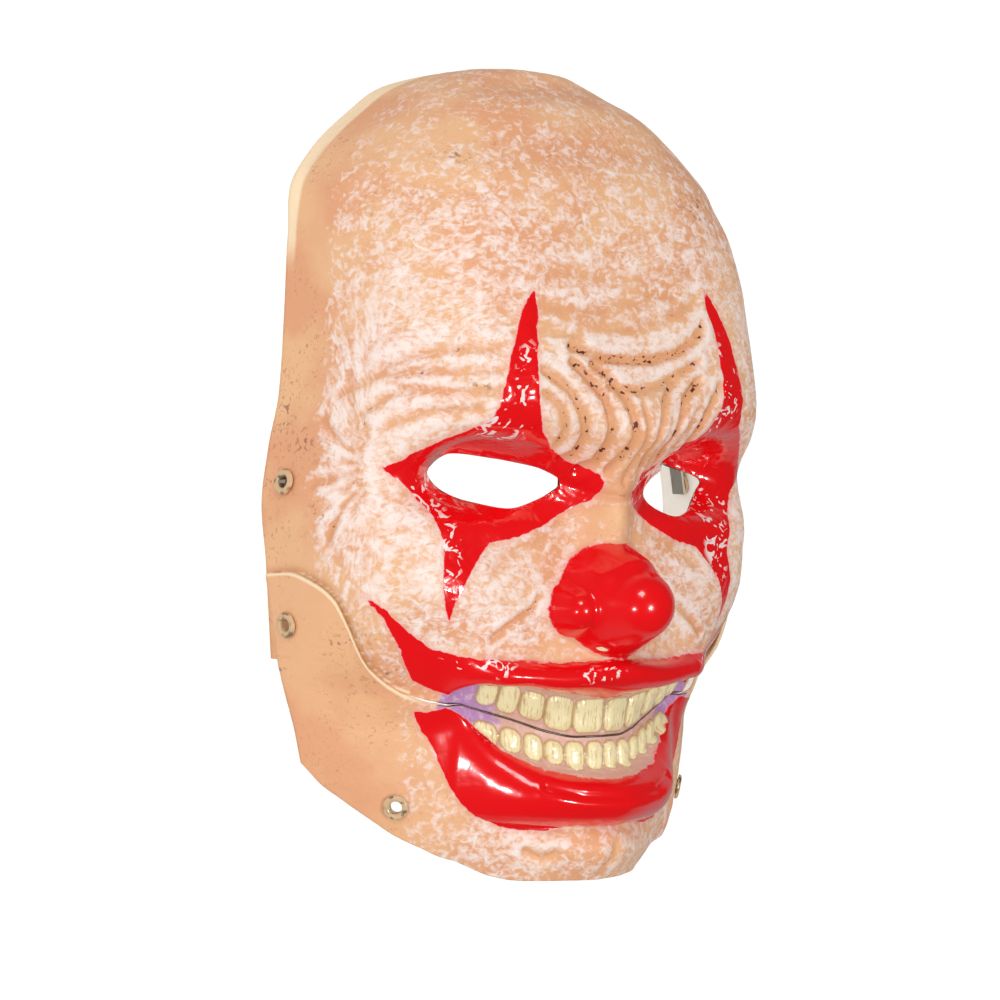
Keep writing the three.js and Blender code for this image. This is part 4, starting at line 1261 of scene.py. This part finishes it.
def elastic_band(material):
    """The elastic on its edge: half an ellipse in plan that sinks from its ends to the floor."""
    low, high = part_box("head_strap")
    end_low, end_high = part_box("strap_end_left")
    half_span = (end_low.x + end_high.x) / 2 / MM - STRAP_INSIDE_END
    start_y = low.y / MM + 0.1
    start_z = (end_low.z + end_high.z) / 2 / MM
    bm = bmesh.new()
    bmesh.ops.create_grid(bm, x_segments=STRAP_SEGMENTS, y_segments=8, size=1)
    rib, along = (bm.verts.layers.float.new(key) for key in ("rib", "along"))
    for vert in bm.verts:
        share, up = vert.co.x / 2 + 0.5, vert.co.y / 2
        angle = math.pi * share
        from_end = 1 - abs(2 * share - 1)
        sunk = float(ramp(0, 0.4, from_end))
        height = start_z + (STRAP_LIFT + STRAP_WIDTH / 2 - start_z) * sunk + up * STRAP_WIDTH
        vert[rib] = up * STRAP_WIDTH
        vert[along] = share * STRAP_LENGTH
        place = (half_span * math.cos(angle), start_y + STRAP_BOW * math.sin(angle), height)
        vert.co = Vector(place) * MM
    bmesh.ops.recalc_face_normals(bm, faces=bm.faces)
    piece = finished("elastic_strap", bm, [material])
    wall = piece.modifiers.new("Thickness", "SOLIDIFY")
    wall.thickness = STRAP_THICKNESS * MM
    wall.offset = 0
    return piece


class MASK_OT_strap(bpy.types.Operator):
    """Lays the elastic inside the mask and finishes its two metal ends"""

    bl_idname = "mask.strap"
    bl_label = "Strap"

    def execute(self, context):
        piece = elastic_band(black_elastic())
        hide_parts("head_strap")
        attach(piece, "upper")
        steel = zinced_steel()
        for tag in ("right", "left"):
            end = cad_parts[f"strap_end_{tag}"]
            end.data.materials.clear()
            end.data.materials.append(steel)
        return {"FINISHED"}


# Studio: the lamps' places are to the camera's right and up, as shares of its reach; sizes in metres
CAMERA_TARGET = (0, -12.2, 15.5)
LAMP_DISTANCE = 1.3
LAMPS = (
    # name, side, height, size, share of the power
    ("lamp_left", -0.34, -0.22, 0.1, 0.62),
    ("lamp_right", 0.66, -0.16, 0.13, 1.6),
    ("lamp_top", 0.1, 0.75, 0.34, 0.85),
    ("lamp_far_left", -1.3, 0.1, 0.2, 0.18),
)
SKY_LIGHT = 0.43
SKY_IN_GLOSS = 0.035
TABLE_GLOW = 0.86
TABLE_IN_GLOSS = 0.06
TABLE_HALF = 30  # metres, so that its far edge lies at the horizon
TABLE_UNDER = 0.4  # millimetres below the rim


class MASK_OT_studio(bpy.types.Operator):
    """Sets the floor, the lamps and the camera"""

    bl_idname = "mask.studio"
    bl_label = "Studio"

    def execute(self, context):
        scene = context.scene
        studio = scene.mask_studio
        target = Vector(CAMERA_TARGET) * MM
        angle = studio.side_angle
        ahead = Vector((-math.sin(angle), 0, math.cos(angle)))
        right = Vector((math.cos(angle), 0, math.sin(angle)))
        up = Vector((0, 1, 0))
        basis = Matrix((right, up, ahead)).transposed().to_4x4()

        camera = bpy.data.objects.new("camera", bpy.data.cameras.new("camera"))
        camera.matrix_world = Matrix.Translation(target + ahead * studio.distance) @ basis
        camera.data.lens = studio.lens
        camera.data.sensor_width = 36
        camera.data.clip_end = 50
        scene.collection.objects.link(camera)
        scene.camera = camera

        bm = bmesh.new()
        bmesh.ops.create_grid(bm, x_segments=1, y_segments=1, size=TABLE_HALF)
        floor = finished("floor", bm, [pale_floor()])
        floor.location.z = -TABLE_UNDER * MM
        for name, side, height, size, share in LAMPS:
            lamp = bpy.data.objects.new(name, bpy.data.lights.new(name, "AREA"))
            aim = (ahead + right * side + up * height).normalized()
            lamp.data.size = size
            lamp.data.energy = studio.lamp_power * share
            turned = aim.to_track_quat("Z", "Y").to_matrix().to_4x4()
            lamp.matrix_world = Matrix.Translation(target + aim * LAMP_DISTANCE) @ turned
            scene.collection.objects.link(lamp)
        world = scene.world or bpy.data.worlds.new("studio")
        scene.world = world
        world.use_nodes = True
        sky = world.node_tree.nodes["Background"]
        sky.inputs["Color"].default_value = (1, 1, 1, 1)
        tree = world.node_tree
        tree.links.new(flagged(tree, SKY_LIGHT, SKY_IN_GLOSS), sky.inputs["Strength"])
        scene.view_settings.view_transform = "Standard"
        scene.view_settings.look = "None"
        return {"FINISHED"}


def pale_floor():
    """Back-lit white acrylic table: it shows white under the mask and through its openings."""
    material, tree, shader = new_material("Back-lit white acrylic")
    shader.inputs["Base Color"].default_value = colour("#8A8A88")
    shader.inputs["Roughness"].default_value = 0.7
    shader.inputs["Emission Color"].default_value = (1, 1, 1, 1)
    tree.links.new(flagged(tree, TABLE_GLOW, TABLE_IN_GLOSS), shader.inputs["Emission Strength"])
    return material


def flagged(tree, strength, in_gloss):
    """A strength that gloss sees dimmed, as with black flags set beside the table."""
    rays = node(tree, "LightPath", output="Is Glossy Ray")
    return node(tree, "MapRange", (rays, 0, 1, strength, in_gloss))


class MASK_PT_panel(bpy.types.Panel):
    """Lists the steps that build the mask"""

    bl_idname = "MASK_PT_panel"
    bl_label = "Clown mask"
    bl_space_type = "VIEW_3D"
    bl_region_type = "UI"
    bl_category = "Mask"

    def draw(self, context):
        for step in STEPS:
            self.layout.operator(step.bl_idname)
        for group in (context.scene.mask_paint, context.scene.mask_studio):
            for key in group.__annotations__:
                self.layout.prop(group, key)


STEPS = (MASK_OT_upper_face, MASK_OT_jaw_face, MASK_OT_eyelets, MASK_OT_strap, MASK_OT_studio)
CLASSES = (MaskPaint, MaskStudio, *STEPS, MASK_PT_panel)


def register():
    for cls in CLASSES:
        bpy.utils.register_class(cls)
    bpy.types.Scene.mask_paint = bpy.props.PointerProperty(type=MaskPaint)
    bpy.types.Scene.mask_studio = bpy.props.PointerProperty(type=MaskStudio)


def unregister():
    del bpy.types.Scene.mask_studio
    del bpy.types.Scene.mask_paint
    for cls in reversed(CLASSES):
        bpy.utils.unregister_class(cls)


def main():
    register()
    bpy.ops.mask.upper_face()
    bpy.ops.mask.jaw_face()
    bpy.ops.mask.eyelets()
    bpy.ops.mask.strap()
    bpy.ops.mask.studio()


if __name__ == "__main__":
    main()
